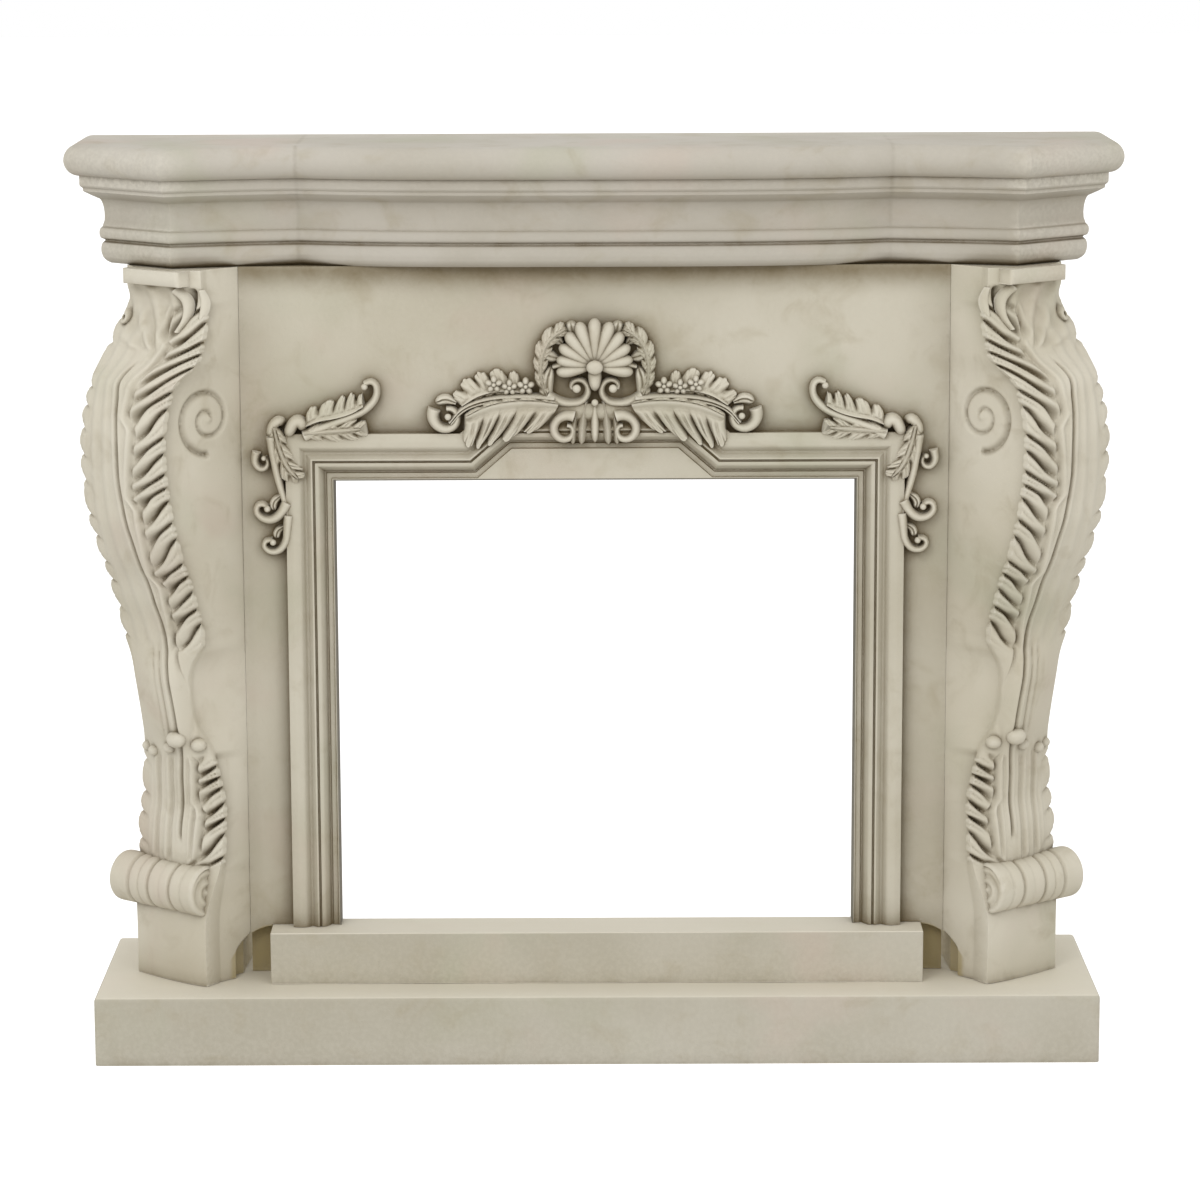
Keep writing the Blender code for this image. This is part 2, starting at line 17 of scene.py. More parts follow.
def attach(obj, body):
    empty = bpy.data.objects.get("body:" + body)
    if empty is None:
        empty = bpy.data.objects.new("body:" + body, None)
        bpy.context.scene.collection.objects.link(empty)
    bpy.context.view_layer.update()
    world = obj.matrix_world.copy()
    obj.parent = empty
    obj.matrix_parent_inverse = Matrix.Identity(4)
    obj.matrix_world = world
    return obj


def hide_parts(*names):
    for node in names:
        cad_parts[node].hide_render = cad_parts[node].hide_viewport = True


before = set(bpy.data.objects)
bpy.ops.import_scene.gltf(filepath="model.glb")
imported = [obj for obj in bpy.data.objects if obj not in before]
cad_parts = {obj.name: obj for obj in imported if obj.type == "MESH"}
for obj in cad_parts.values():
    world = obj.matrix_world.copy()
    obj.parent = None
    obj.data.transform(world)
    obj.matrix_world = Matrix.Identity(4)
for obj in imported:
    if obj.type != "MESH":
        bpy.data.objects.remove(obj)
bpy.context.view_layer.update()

# %% [markdown]
# The sizes below are the mantel's own, in metres, and each one follows the solids. Keeping them by
# name at the top makes it easy to see how the pieces meet: the legs stand on the plinth, the frame
# runs round the opening, and the shelf lies on the legs. The niche beside the riser is an arch that
# falls from NICHE_TOP with the square of the distance from the riser's end.

# %% Sizes that several pieces share
GAP = 0.0003
WALL_Y = 0.170
PLINTH_HALF_WIDTH, PLINTH_TOP = 0.7500, 0.104
SILL, OPENING_TOP, OPENING_HALF = 0.183, 0.8642, 0.387
RISER_HALF_WIDTH, RISER_FRONT = 0.4913, -0.094
PANEL_X, PANEL_FRONT, PANEL_BACK = 0.5247, -0.0415, -0.010
GROOVE_X, GROOVE_TOP = 0.390, 0.8672
LEG_TOP, SHELF_TOP = 1.183, 1.361
LEG_X, LEG_Y, LEG_CANT = 0.6407, -0.0617, math.radians(38)
LEG_SIZE = LEG_TOP - PLINTH_TOP - 2 * GAP
SHELF_JOINT_X = 0.4357
NICHE_TOP, NICHE_FALL, NICHE_DEPTH = 0.1845, 12.0, 0.020
print("leg height", round(LEG_SIZE, 4))

# %% [markdown]
# Shader maths reads best as plain formulas. The small class below wraps one socket of a node tree,
# so that an expression such as 1 - mask adds its Math node by itself. Colours go through Mix nodes,
# because a Math node would turn them grey.

# %% A socket that can be calculated with


class Wire:
    def __init__(self, tree, socket):
        self.tree = tree
        self.socket = socket

    def maths(self, operation, *values):
        return add_node(self.tree, "ShaderNodeMath", {"operation": operation}, *values)

    def __add__(self, other):
        return self.maths('ADD', self, other)

    def __sub__(self, other):
        return self.maths('SUBTRACT', self, other)

    def __mul__(self, other):
        return self.maths('MULTIPLY', self, other)

    def __rsub__(self, other):
        return self.maths('SUBTRACT', other, self)

    __radd__ = __add__
    __rmul__ = __mul__

    def absolute(self):
        return self.maths('ABSOLUTE', self)

    def clamped(self):
        return add_node(self.tree, "ShaderNodeClamp", {}, self, 0.0, 1.0)

    def between(self, low, high):
        """0 below low, 1 above high, and a smooth ramp in between."""
        smooth = {"interpolation_type": 'SMOOTHSTEP'}
        return add_node(self.tree, "ShaderNodeMapRange", smooth, self, low, high)


def add_node(tree, kind, settings, *values, out=0, **named):
    """Add one node: its settings first, then the values or links of its sockets."""
    node = tree.nodes.new(kind)
    for key, value in settings.items():
        setattr(node, key, value)
    inputs = dict(enumerate(values))
    inputs.update(named)
    for key, value in inputs.items():
        if value is None:
            continue
        socket = node.inputs[key.replace("_", " ") if isinstance(key, str) else key]
        if isinstance(value, Wire):
            tree.links.new(value.socket, socket)
        else:
            socket.default_value = value
    return Wire(tree, node.outputs[out])


def blend(tree, factor, first, second):
    """Mix two colours by a factor."""
    node = tree.nodes.new("ShaderNodeMix")
    node.data_type = 'RGBA'
    for name, value in (("Factor_Float", factor), ("A_Color", first), ("B_Color", second)):
        socket = next(s for s in node.inputs if s.identifier == name)
        if isinstance(value, Wire):
            tree.links.new(value.socket, socket)
        else:
            socket.default_value = value
    return Wire(tree, next(s for s in node.outputs if s.identifier == "Result_Color"))


print("shader helpers ready")

# %% [markdown]
# The stone. The real finish is a cream cast stone that was brushed with a thin brown wash and
# wiped off again, so the wash stays in every hollow and thins out over the raised parts. Two
# Ambient Occlusion nodes find the grooves and creases for that wash; a third, reaching over whole
# recesses, lays painted shade in the same brown. Large soft noise gives the greenish and pinkish
# clouds seen on the flat parts, fine noise gives the grain, and sparse small pores go into the
# bump. Sharp edges are made pale, partly as wear and partly as a painted highlight.
#
# A few marks belong to one place, and each finish asks for its own: the faint joints of the shelf,
# painted shade in the niche beside the riser and on the lip of the opening, painted shade under the
# cornice, and a painted highlight on the tops of plinth and riser. All of them are worked out from
# the piece's own coordinates.

# %% Colours that the stone finishes share
GREENISH, PINKISH = (0.47, 0.47, 0.34, 1), (0.60, 0.48, 0.40, 1)
BLOTCH_BROWN, GRAIN_CREAM = (0.40, 0.34, 0.22, 1), (0.74, 0.69, 0.58, 1)
# The wash's brown serves both the wash in the hollows and the painted shade of whole recesses.
WASH_AND_SHADE_BROWN, JOINT_BROWN = (0.130, 0.093, 0.042, 1), (0.19, 0.15, 0.09, 1)
# The niche and lip colours are painted shade: inside the niche beside the riser and on the opening's reveal.
NICHE_SHADE_BROWN, LIP_SHADE_DARK = (0.360, 0.285, 0.130, 1), (0.10, 0.09, 0.07, 1)
SHADE_BROWN = (0.17, 0.125, 0.055, 1)
# The cream for the tops of plinth and riser is a painted highlight; the cream for sharp edges is wear and a painted
# highlight together.
TOP_HIGHLIGHT_CREAM, RUBBED_AND_HIGHLIT_CREAM = (0.80, 0.75, 0.63, 1), (0.80, 0.76, 0.66, 1)
print("wash colour:", WASH_AND_SHADE_BROWN[:3])

# %% Marks, painted shade and painted highlights that belong to one place


def place_marks(tree, colour, place, clouds, blotches, seam, niche_and_lip_shade, shade, highlit_tops):
    """Lay the joint, the painted shade of niche, lip and cornice, and the painted highlight of the tops over a colour,
    each where it belongs.
    """
    across, _, level = (add_node(tree, "ShaderNodeSeparateXYZ", {}, place, out=k) for k in range(3))
    across = across.absolute()
    if seam:
        away = (across - seam + clouds * 0.004 - 0.002).absolute()
        line = (1.0 - away.between(0.0004, 0.0052)) * blotches.between(0.35, 0.65) * 0.17
        colour = blend(tree, line.clamped(), colour, JOINT_BROWN)
    # Painted shade in the niche beside the riser, and on the reveal and lip of the opening.
    if niche_and_lip_shade:
        beyond = across - RISER_HALF_WIDTH
        arch = NICHE_TOP - beyond * beyond * NICHE_FALL - level
        niche = arch.between(0.0, 0.005) * beyond.between(-0.0010, 0.0005)
        niche = niche * (1.0 - beyond.between(0.058, 0.066))
        colour = blend(tree, niche * (0.40 + blotches * 0.5), colour, NICHE_SHADE_BROWN)
        # The opening's reveal and a thin lip in front of it: painted shade.
        inside = 1.0 - (across - OPENING_HALF).between(0.0014, 0.0026)
        inside = inside * (OPENING_TOP - level).between(-0.0026, -0.0014)
        colour = blend(tree, inside * 0.85, colour, LIP_SHADE_DARK)
    if shade:
        under = level.between(LEG_TOP - 0.062, LEG_TOP - 0.004)
        under = (under * under * (0.65 + blotches * 0.6)).clamped()
        colour = blend(tree, under * shade, colour, SHADE_BROWN)
    # Painted highlight: the top faces of plinth and riser, with a thin band of their arris, are made pale.
    for height in highlit_tops:
        above = level.between(height - 0.0022, height - 0.0008)
        top = above * (1.0 - level.between(height + 0.0006, height + 0.0012))
        colour = blend(tree, top * 0.75, colour, TOP_HIGHLIGHT_CREAM)
    return colour


# %% Stone finishes


def stone_finish(name, light, middle, wash_strength, recess_shade, rough, rub_and_highlight=1.0, seam=0.0,
                 niche_and_lip_shade=False, shade=0.0, highlit_tops=()):
    """A cast stone from two creams, its wash in grooves, painted shade in whole recesses, and its marks."""
    material = bpy.data.materials.new(name)
    material.use_nodes = True
    tree = material.node_tree
    shader = tree.nodes["Principled BSDF"]
    place = add_node(tree, "ShaderNodeTexCoord", {}, out=3)

    def noise(scale, detail, roughness, warp=0.0, shift=0.0):
        where = place
        if shift:
            added = {"operation": 'ADD'}
            where = add_node(tree, "ShaderNodeVectorMath", added, place, (shift, shift, shift))
        return add_node(tree, "ShaderNodeTexNoise", {}, Vector=where, Scale=scale, Detail=detail,
                        Roughness=roughness, Distortion=warp)

    def closed_in(distance):
        """How much of the space before a point is closed in by stone nearer than a distance."""
        return 1.0 - add_node(tree, "ShaderNodeAmbientOcclusion", {"samples": 2}, Distance=distance, out=1)

    clouds = noise(2.6, 3.0, 0.55, 0.4)
    green = noise(4.4, 3.0, 0.5, 0.3, 3.7)
    pink = noise(5.2, 3.0, 0.5, 0.3, 8.1)
    blotches = noise(17.0, 4.0, 0.6, 0.6)
    grain = noise(140.0, 3.0, 0.65)

    colour = blend(tree, clouds.between(0.36, 0.66), middle, light)
    colour = blend(tree, green.between(0.52, 0.75) * 0.45, colour, GREENISH)
    colour = blend(tree, pink.between(0.52, 0.75) * 0.40, colour, PINKISH)
    colour = blend(tree, blotches.between(0.50, 0.78) * 0.36, colour, BLOTCH_BROWN)
    colour = blend(tree, grain.between(0.40, 0.75) * 0.07, colour, GRAIN_CREAM)

    # The two short reaches find grooves and creases for the brown wash; the 0.12 m reach darkens whole recesses, under
    # the cornice and between legs and panel: painted shade in the wash's brown.
    recess, groove, crease = closed_in(0.120), closed_in(0.024), closed_in(0.007)
    hollow = groove.between(0.22, 0.85) * 0.62 + crease.between(0.22, 0.80) * 0.62
    uneven = 0.60 + blotches.between(0.30, 0.70) * 0.60
    deep = recess.between(0.16, 0.62) * recess_shade
    wash_and_shade = (hollow * uneven * wash_strength + deep).clamped()
    colour = blend(tree, wash_and_shade, colour, WASH_AND_SHADE_BROWN)
    colour = place_marks(tree, colour, place, clouds, blotches, seam, niche_and_lip_shade, shade, highlit_tops)

    # Sharp edges, found by pointiness, are made pale: partly wear, partly a painted highlight.
    pointiness = add_node(tree, "ShaderNodeNewGeometry", {}, out=7)
    rubbed_and_highlit = pointiness.between(0.515, 0.62) * (0.35 + grain.between(0.3, 0.7) * 0.4) * rub_and_highlight
    colour = blend(tree, rubbed_and_highlit.clamped(), colour, RUBBED_AND_HIGHLIT_CREAM)

    tree.links.new(colour.socket, shader.inputs["Base Color"])
    roughness = rough + blotches.between(0.2, 0.8) * 0.12 - rubbed_and_highlit * 0.08
    tree.links.new(roughness.socket, shader.inputs["Roughness"])
    shader.inputs["Specular IOR Level"].default_value = 0.35

    pores = noise(260.0, 2.0, 0.5, 0.0, 1.3).between(0.66, 0.74)
    relief = grain * 0.0004 - pores * 0.0004 + blotches * 0.0010
    bump = add_node(tree, "ShaderNodeBump", {}, Strength=0.55, Distance=1.0, Height=relief)
    tree.links.new(bump.socket, shader.inputs["Normal"])
    return material


# Each finish sets how much painted shade goes into whole recesses, whether niche and lip get painted shade, how much
# painted shade lies under the cornice, and which tops get a painted highlight.
CREAM = stone_finish("aged_cream_stone", (0.722, 0.676, 0.562, 1), (0.630, 0.580, 0.460, 1),
                     wash_strength=0.86, recess_shade=0.34, rough=0.68, niche_and_lip_shade=True)
FIELD = stone_finish("aged_cream_panel", (0.640, 0.598, 0.490, 1), (0.560, 0.516, 0.405, 1),
                     wash_strength=0.68, recess_shade=0.80, rough=0.68, rub_and_highlight=0.15, niche_and_lip_shade=True, shade=0.85)
BASE = stone_finish("aged_cream_base", (0.540, 0.504, 0.415, 1), (0.470, 0.434, 0.342, 1),
                    wash_strength=0.62, recess_shade=0.08, rough=0.68, rub_and_highlight=0.5, highlit_tops=(PLINTH_TOP, SILL))
PALE = stone_finish("rubbed_shelf_stone", (0.555, 0.517, 0.448, 1), (0.490, 0.452, 0.376, 1),
                    wash_strength=0.98, recess_shade=0.30, rough=0.58, seam=SHELF_JOINT_X)
print("finishes:", CREAM.name, FIELD.name, BASE.name, PALE.name)

# %% [markdown]
# Mesh helpers. Each piece is collected as points and faces in a Casting, in metres and in its final
# place. A loft skins rows of points: it makes shelf, mouldings, rolls and leaves alike, because each
# is a section that moves along a line. At the end doubles are merged and the faces turned outward.

# %% Collect the meshes of one piece
MERGE_DISTANCE = 0.00001


class Casting:
    def __init__(self, name):
        self.name = name
        self.points = []
        self.faces = []

    def add(self, points, faces):
        start = len(self.points)
        self.points.extend(map(tuple, points))
        self.faces.extend([tuple(i + start for i in face) for face in faces])

    def loft(self, rows, closed=True, caps=True):
        """Skin rows of points; closed joins each row's end to its start."""
        rows = np.asarray(rows, dtype=float)
        count, width = rows.shape[:2]
        faces = []
        reach = width if closed else width - 1
        for r in range(count - 1):
            for i in range(reach):
                j = (i + 1) % width
                faces.append((r * width + i, r * width + j, (r + 1) * width + j, (r + 1) * width + i))
        if caps:
            faces.append(tuple(range(width))[::-1])
            faces.append(tuple((count - 1) * width + i for i in range(width)))
        self.add(rows.reshape(-1, 3), faces)

    def finish(self, material, slot, crease, replaces=(), cuts=()):
        """Turn the collected mesh into a piece with its faces pointing out; cuts are (axis, place)."""
        mesh = bpy.data.meshes.new(self.name)
        mesh.from_pydata([tuple(p) for p in self.points], [], self.faces)
        work = bmesh.new()
        work.from_mesh(mesh)
        bmesh.ops.remove_doubles(work, verts=work.verts, dist=MERGE_DISTANCE)
        bmesh.ops.recalc_face_normals(work, faces=work.faces)
        for axis, place in cuts:
            cut_across(work, axis, place, MERGE_DISTANCE)
        hand_in(work, mesh, material, crease, replaces)


def cut_across(work, axis, place, near=0.0):
    """Cut a mesh square to an axis, using corners nearer than a distance as they are."""
    normal = [1.0 if k == axis else 0.0 for k in range(3)]
    bmesh.ops.bisect_plane(work, geom=work.verts[:] + work.edges[:] + work.faces[:], dist=near,
                           plane_co=[place * n for n in normal], plane_no=normal)


def hand_in(work, mesh, material, crease, replaces):
    """Make a piece of a worked mesh, smooth up to an angle, and hide the solids that it stands for."""
    work.to_mesh(mesh)
    work.free()
    for polygon in mesh.polygons:
        polygon.use_smooth = True
    mesh.set_sharp_from_angle(angle=math.radians(crease))
    mesh.materials.append(material)
    piece = bpy.data.objects.new(mesh.name, mesh)
    bpy.context.scene.collection.objects.link(piece)
    for node in replaces:
        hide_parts(node)
    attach(piece, "root")
    mesh.calc_loop_triangles()
    print(mesh.name, "triangles:", len(mesh.loop_triangles))


# %% Lines, knots and eased corners


def along(knots, at):
    """Smooth curve through the knots, level beyond its ends, for an array of places."""
    places = np.array([k[0] for k in knots])
    values = np.array([k[1] for k in knots])
    before = np.concatenate(([0], np.arange(len(knots) - 1)))
    after = np.concatenate((np.arange(1, len(knots)), [len(knots) - 1]))
    slopes = (values[after] - values[before]) / (places[after] - places[before])
    at = np.clip(at, places[0], places[-1])
    i = np.clip(np.searchsorted(places, at) - 1, 0, len(knots) - 2)
    span = places[i + 1] - places[i]
    t = (at - places[i]) / span
    return ((2 * t ** 3 - 3 * t ** 2 + 1) * values[i] + (t ** 3 - 2 * t ** 2 + t) * span * slopes[i]
            + (3 * t ** 2 - 2 * t ** 3) * values[i + 1] + (t ** 3 - t ** 2) * span * slopes[i + 1])


def step(low, high, at):
    """0 below low, 1 above high, smooth in between."""
    t = np.clip((at - low) / (high - low), 0.0, 1.0)
    return t * t * (3 - 2 * t)


def eased(points, radius, cuts=3):
    """Round the corners of an open line by a radius, or less where the line is short."""
    points = [np.asarray(p, dtype=float) for p in points]
    out = [points[0]]
    for before, here, after in zip(points, points[1:], points[2:]):
        back = min(radius, 0.45 * np.linalg.norm(before - here))
        ahead = min(radius, 0.45 * np.linalg.norm(after - here))
        start = here + (before - here) / np.linalg.norm(before - here) * back
        end = here + (after - here) / np.linalg.norm(after - here) * ahead
        for k in range(cuts + 1):
            t = k / cuts
            out.append((1 - t) ** 2 * start + 2 * t * (1 - t) * here + t * t * end)
    return out + [points[-1]]


def offset_line(points, distance):
    """Shift an open plane line to the left of its direction, with mitred corners."""
    points = np.asarray(points, dtype=float)
    directions = np.diff(points, axis=0)
    directions /= np.linalg.norm(directions, axis=1)[:, None]
    normals = np.stack((-directions[:, 1], directions[:, 0]), axis=1)
    shifted = [points[0] + normals[0] * distance]
    for here, before, after in zip(points[1:-1], normals, normals[1:]):
        mitre = before + after
        mitre /= np.linalg.norm(mitre)
        shifted.append(here + mitre * distance / (mitre @ before))
    shifted.append(points[-1] + normals[-1] * distance)
    return np.array(shifted)


print("mesh helpers ready")

# %% [markdown]
# The shelf. On the real mantel it is one long moulding that runs round a plan with canted ends and
# a bowed middle: a thick round nose, a fillet, a hollow, a bead and a small roll above the legs.
# Blender's Curve to Mesh would sweep such a profile, but it pinches it at sharp corners. Shifting
# the plan line inward for each level keeps every corner mitred, so that way is used here.

# %% Shelf plan and section
SHELF_END, SHELF_CANT_Y = 0.7811, -0.0115
SHELF_CORNER = (0.6310, -0.1365)
SHELF_SEAM = (SHELF_JOINT_X, -0.0845)
SHELF_HOLLOW, SHELF_BOW = 0.006, 0.0435
NOSE_RADIUS, NOSE_DROP = 0.0230, 0.0475
COVE_START, COVE_WIDTH, COVE_DROP, COVE_STEPS = (0.0470, 0.0810), 0.0090, 0.0270, 7


def shelf_plan():
    """From the left end's back round the canted end and the bowed middle to the right end's back."""
    half = [(-SHELF_END, WALL_Y), (-SHELF_END, 0.08), (-SHELF_END, SHELF_CANT_Y),
            (-SHELF_CORNER[0], SHELF_CORNER[1])]
    for i in range(3, 13):
        share = i / 13
        x = SHELF_CORNER[0] + (SHELF_SEAM[0] - SHELF_CORNER[0]) * share
        y = SHELF_CORNER[1] + (SHELF_SEAM[1] - SHELF_CORNER[1]) * share
        half.append((-x, y + SHELF_HOLLOW * math.sin(math.pi * share)))
    for i in range(33):
        share = 1 - (i / 32) ** 1.6
        half.append((-SHELF_SEAM[0] * share, SHELF_SEAM[1] - SHELF_BOW * (1 - share ** 3.4)))
    return np.array(half + [(-x, y) for x, y in reversed(half[:-1])])


def shelf_section():
    """Inward from the nose, and down from the top."""
    section = []
    for i in range(21):
        turn = math.pi * i / 20
        section.append((NOSE_RADIUS * (1 - math.sin(turn)), NOSE_DROP / 2 * (1 - math.cos(turn))))
    upper = [(0.0215, 0.0475), (0.0215, 0.0610), (0.0235, 0.0635), (0.0262, 0.0655), (0.0264, 0.0700),
             (0.0370, 0.0760), COVE_START]
    section += [tuple(p) for p in eased(upper, 0.0008)]
    for i in range(1, COVE_STEPS + 1):
        turn = math.pi / 2 * i / COVE_STEPS
        section.append((COVE_START[0] + COVE_WIDTH * math.sin(turn),
                        COVE_START[1] + COVE_DROP * (1 - math.cos(turn))))
    lower = [(0.0555, 0.1150), (0.0530, 0.1215), (0.0530, 0.1235), (0.0495, 0.1255), (0.0478, 0.1300),
             (0.0480, 0.1360), (0.0500, 0.1405), (0.0560, 0.1425), (0.0560, 0.1455), (0.0520, 0.1470),
             (0.0500, 0.1530), (0.0500, 0.1610), (0.0525, 0.1690), (0.0570, 0.1740), (0.0620, 0.1770),
             (0.0640, 0.1780)]
    section += [tuple(p) for p in eased(lower, 0.0022)]
    return section


plan = shelf_plan()
shelf = Casting("carved_shelf")
rows = []
for inward, below in shelf_section():
    line = offset_line(plan, inward)
    rows.append([(x, min(y, WALL_Y), SHELF_TOP - below) for x, y in line])
shelf.loft(rows[::-1])
shelf.finish(PALE, "shelf_stone", crease=30, replaces=("mantel_shelf",))

# %% [markdown]
# The plinth and the riser are plain slabs, but on a cast piece no edge is sharp. Their boxes are
# bevelled and cut finely enough to be pushed a fraction of a millimetre out of true, as hand
# finishing does, so the highlight along the long arris wavers instead of running dead straight.

# %% Plinth and riser
OUT_OF_TRUE = 0.0003


def slab(name, half_width, front, back, bottom, top, arris, replaces):
    work = bmesh.new()
    bmesh.ops.create_cube(work, size=1.0)
    for vert in work.verts:
        vert.co.x *= 2 * half_width
        vert.co.y = front + (vert.co.y + 0.5) * (back - front)
        vert.co.z = bottom + (vert.co.z + 0.5) * (top - bottom)
    visible = [e for e in work.edges
               if not all(v.co.y > back - 0.001 for v in e.verts)
               and not all(v.co.z < bottom + 0.001 for v in e.verts)]
    bmesh.ops.bevel(work, geom=visible, offset=arris, segments=4, profile=0.5, affect='EDGES')
    depth = back - front
    for axis, middle, reach, count in ((0, 0.0, half_width, 60), (1, (front + back) / 2, depth / 2, 10)):
        for i in range(1, count):
            cut_across(work, axis, middle + reach * (2 * i / count - 1))
    for vert in work.verts:
        x, y, z = vert.co
        wave = math.sin(x * 23.0 + 1.3) * 0.5 + math.sin(x * 61.0 + z * 40.0) * 0.3
        wave += math.sin(y * 57.0) * 0.3
        if front + 0.002 < y < back - 0.002 and z > top - 0.001:
            vert.co.z -= OUT_OF_TRUE * (1 + wave)
        elif y < front + arris and z > bottom + 0.002:
            vert.co.y += OUT_OF_TRUE * (1 + wave)
    bmesh.ops.recalc_face_normals(work, faces=work.faces)
    hand_in(work, bpy.data.meshes.new(name), BASE, 40, replaces)


slab("cast_plinth", PLINTH_HALF_WIDTH, -WALL_Y, WALL_Y, 0.0, PLINTH_TOP, 0.006, ("base_plinth",))
slab("cast_riser", RISER_HALF_WIDTH, RISER_FRONT, PANEL_BACK, PLINTH_TOP + GAP, SILL, 0.0022,
     ("hearth_riser",))

# %% [markdown]
# The surround panel is a flat upside-down U with a frame moulding round the opening. The moulding
# is a fillet, a flat, a rounded rise, a step, a hollow and an outer bead, and over the middle of
# the opening all its lines turn up under the crest. Its section is drawn once, its corners are
# eased as a mould leaves them, and it is carried along the frame's line with mitred corners.

# %% Frame line and section
RAMP_START, RAMP_RISE, RAMP_ANGLE = 0.174, 0.0440, math.radians(41)
FRAME_SECTION = [
    (0.0000, 0.0050), (0.0012, 0.0026), (0.0082, 0.0024), (0.0088, 0.0004), (0.0110, 0.0006), (0.0140, 0.0070),
    (0.0196, 0.0150), (0.0250, 0.0165), (0.0256, 0.0136), (0.0280, 0.0138), (0.0288, 0.0182), (0.0312, 0.0182),
    (0.0395, 0.0112), (0.0480, 0.0192), (0.0575, 0.0205), (0.0687, 0.0175), (0.0687, 0.0000),
]
NICHE_ARCH = ((RISER_HALF_WIDTH + GAP, 0.1812), (0.5000, 0.1800), (0.5080, 0.1776), (0.5160, 0.1740), (PANEL_X, 0.1690))
RISE_CORNERS, BEAD_CORNERS = (5, 6), (12, 13, 14)


def frame_line(distance):
    ramp_end = RAMP_START - RAMP_RISE / math.tan(RAMP_ANGLE)
    left = [(-GROOVE_X, SILL), (-GROOVE_X, GROOVE_TOP), (-RAMP_START, GROOVE_TOP),
            (-ramp_end, GROOVE_TOP + RAMP_RISE)]
    line = offset_line(left + [(-x, z) for x, z in reversed(left)], distance)
    line[:, 1] = np.maximum(line[:, 1], SILL + GAP)
    line[0, 1] = line[-1, 1] = SILL + GAP
    return line


def rounded_section():
    """The frame's section with soft hollows and beads and small arrises."""
    points = [np.array(FRAME_SECTION[0])]
    for i in range(1, len(FRAME_SECTION) - 1):
        radius = 0.0030 if i in BEAD_CORNERS else 0.0022 if i in RISE_CORNERS else 0.0006
        trio = [FRAME_SECTION[i - 1], FRAME_SECTION[i], FRAME_SECTION[i + 1]]
        points += eased(trio, radius, 4)[1:-1]
    points.append(np.array(FRAME_SECTION[-1]))
    return points


def panel_casting():
    casting = Casting("carved_surround")
    section = rounded_section()

    def lift(x, z, height):
        return (x, PANEL_FRONT - height, z)

    lines = [frame_line(max(distance, 0.0)) for distance, _ in section]
    reveal = np.array([(-OPENING_HALF, SILL + GAP), (-OPENING_HALF, OPENING_TOP),
                       (OPENING_HALF, OPENING_TOP), (OPENING_HALF, SILL + GAP)])
    flat = np.array([[lift(x, z, height) for x, z in line] for line, (_, height) in zip(lines, section)])
    casting.loft(flat, closed=False, caps=False)
    points = [lift(x, z, section[0][1]) for x, z in reveal] + [(x, PANEL_BACK, z) for x, z in reveal]
    foot, top, notch = PLINTH_TOP + GAP, LEG_TOP - GAP, RISER_HALF_WIDTH + GAP
    rim = [(-notch, SILL + GAP), (-notch, foot), (-PANEL_X, foot), (-PANEL_X, top), (PANEL_X, top),
           (PANEL_X, foot), (notch, foot), (notch, SILL + GAP)]
    inner = [tuple(p) for p in flat[0]]
    outer = [tuple(p) for p in flat[-1]]
    back = [(x, PANEL_BACK, z) for x, z in rim]
    base = points + inner + outer + back
    n_in, n_back = 8, 8 + len(inner) + len(outer)
    faces = [tuple(n_in + i for i in range(len(inner))) + (3, 2, 1, 0)]
    faces += [(i, i + 1, 4 + i + 1, 4 + i) for i in range(3)]
    faces += [tuple(n_back + i for i in range(8)) + (7, 6, 5, 4)]
    casting.add(base, faces)

    def wall(*corners):
        casting.add(corners, [tuple(range(len(corners)))])

    arches = []
    for side, first, near, under in ((-1, 0, 1, 2), (1, 7, 6, 5)):
        arch = [lift(side * x, z, 0.0) for x, z in NICHE_ARCH]
        deep = [lift(side * x, z, -NICHE_DEPTH) for x, z in NICHE_ARCH]
        heel, toe = lift(side * notch, foot, -NICHE_DEPTH), lift(side * PANEL_X, foot, -NICHE_DEPTH)
        for i in range(len(arch) - 1):
            wall(arch[i], arch[i + 1], deep[i + 1], deep[i])
        wall(*deep, toe, heel)
        wall(lift(side * notch, SILL + GAP, 0.0), arch[0], deep[0], heel, back[near], back[first])
        wall(heel, toe, back[under], back[near])
        wall(toe, deep[-1], arch[-1], lift(side * PANEL_X, top, 0.0), (side * PANEL_X, PANEL_BACK, top),
             back[under])
        arches.append(arch)
    corners = [lift(-PANEL_X, top, 0.0), lift(PANEL_X, top, 0.0)]
    wall(*corners, (PANEL_X, PANEL_BACK, top), (-PANEL_X, PANEL_BACK, top))
    wall(lift(-notch, SILL + GAP, 0.0), *arches[0], *corners, *arches[1][::-1], lift(notch, SILL + GAP, 0.0),
         *outer[::-1])
    for end, side in ((0, -1), (-1, 1)):
        ring = [back[end], (reveal[end][0], PANEL_BACK, SILL + GAP), lift(*reveal[end], section[0][1])]
        ring += [tuple(row[end]) for row in flat] + [lift(side * notch, SILL + GAP, 0.0)]
        casting.add(ring, [tuple(range(len(ring)))])
    return casting


RIM_CUTS = [(0, 0.006 - PANEL_X), (0, PANEL_X - 0.006), (2, LEG_TOP - 0.007), (2, PLINTH_TOP + 0.007)]
panel_casting().finish(FIELD, "aged_cream_stone", crease=28, replaces=("surround_panel",), cuts=RIM_CUTS)

# %% [markdown]
# The legs. Each one is a console: from the plinth it rises as a plain foot, swells into a scroll,
# narrows to a waist, and sweeps forward into a tall knee under the shelf, and one long acanthus leaf
# lies over its face. A sculptor would carve that from a block. Here the leg is a fine grid of
# points: rows go up the leg, columns go round it, and the carving is a height added to the face.
# That gives one closed mesh with deep hollows between the lobes and a scalloped edge.

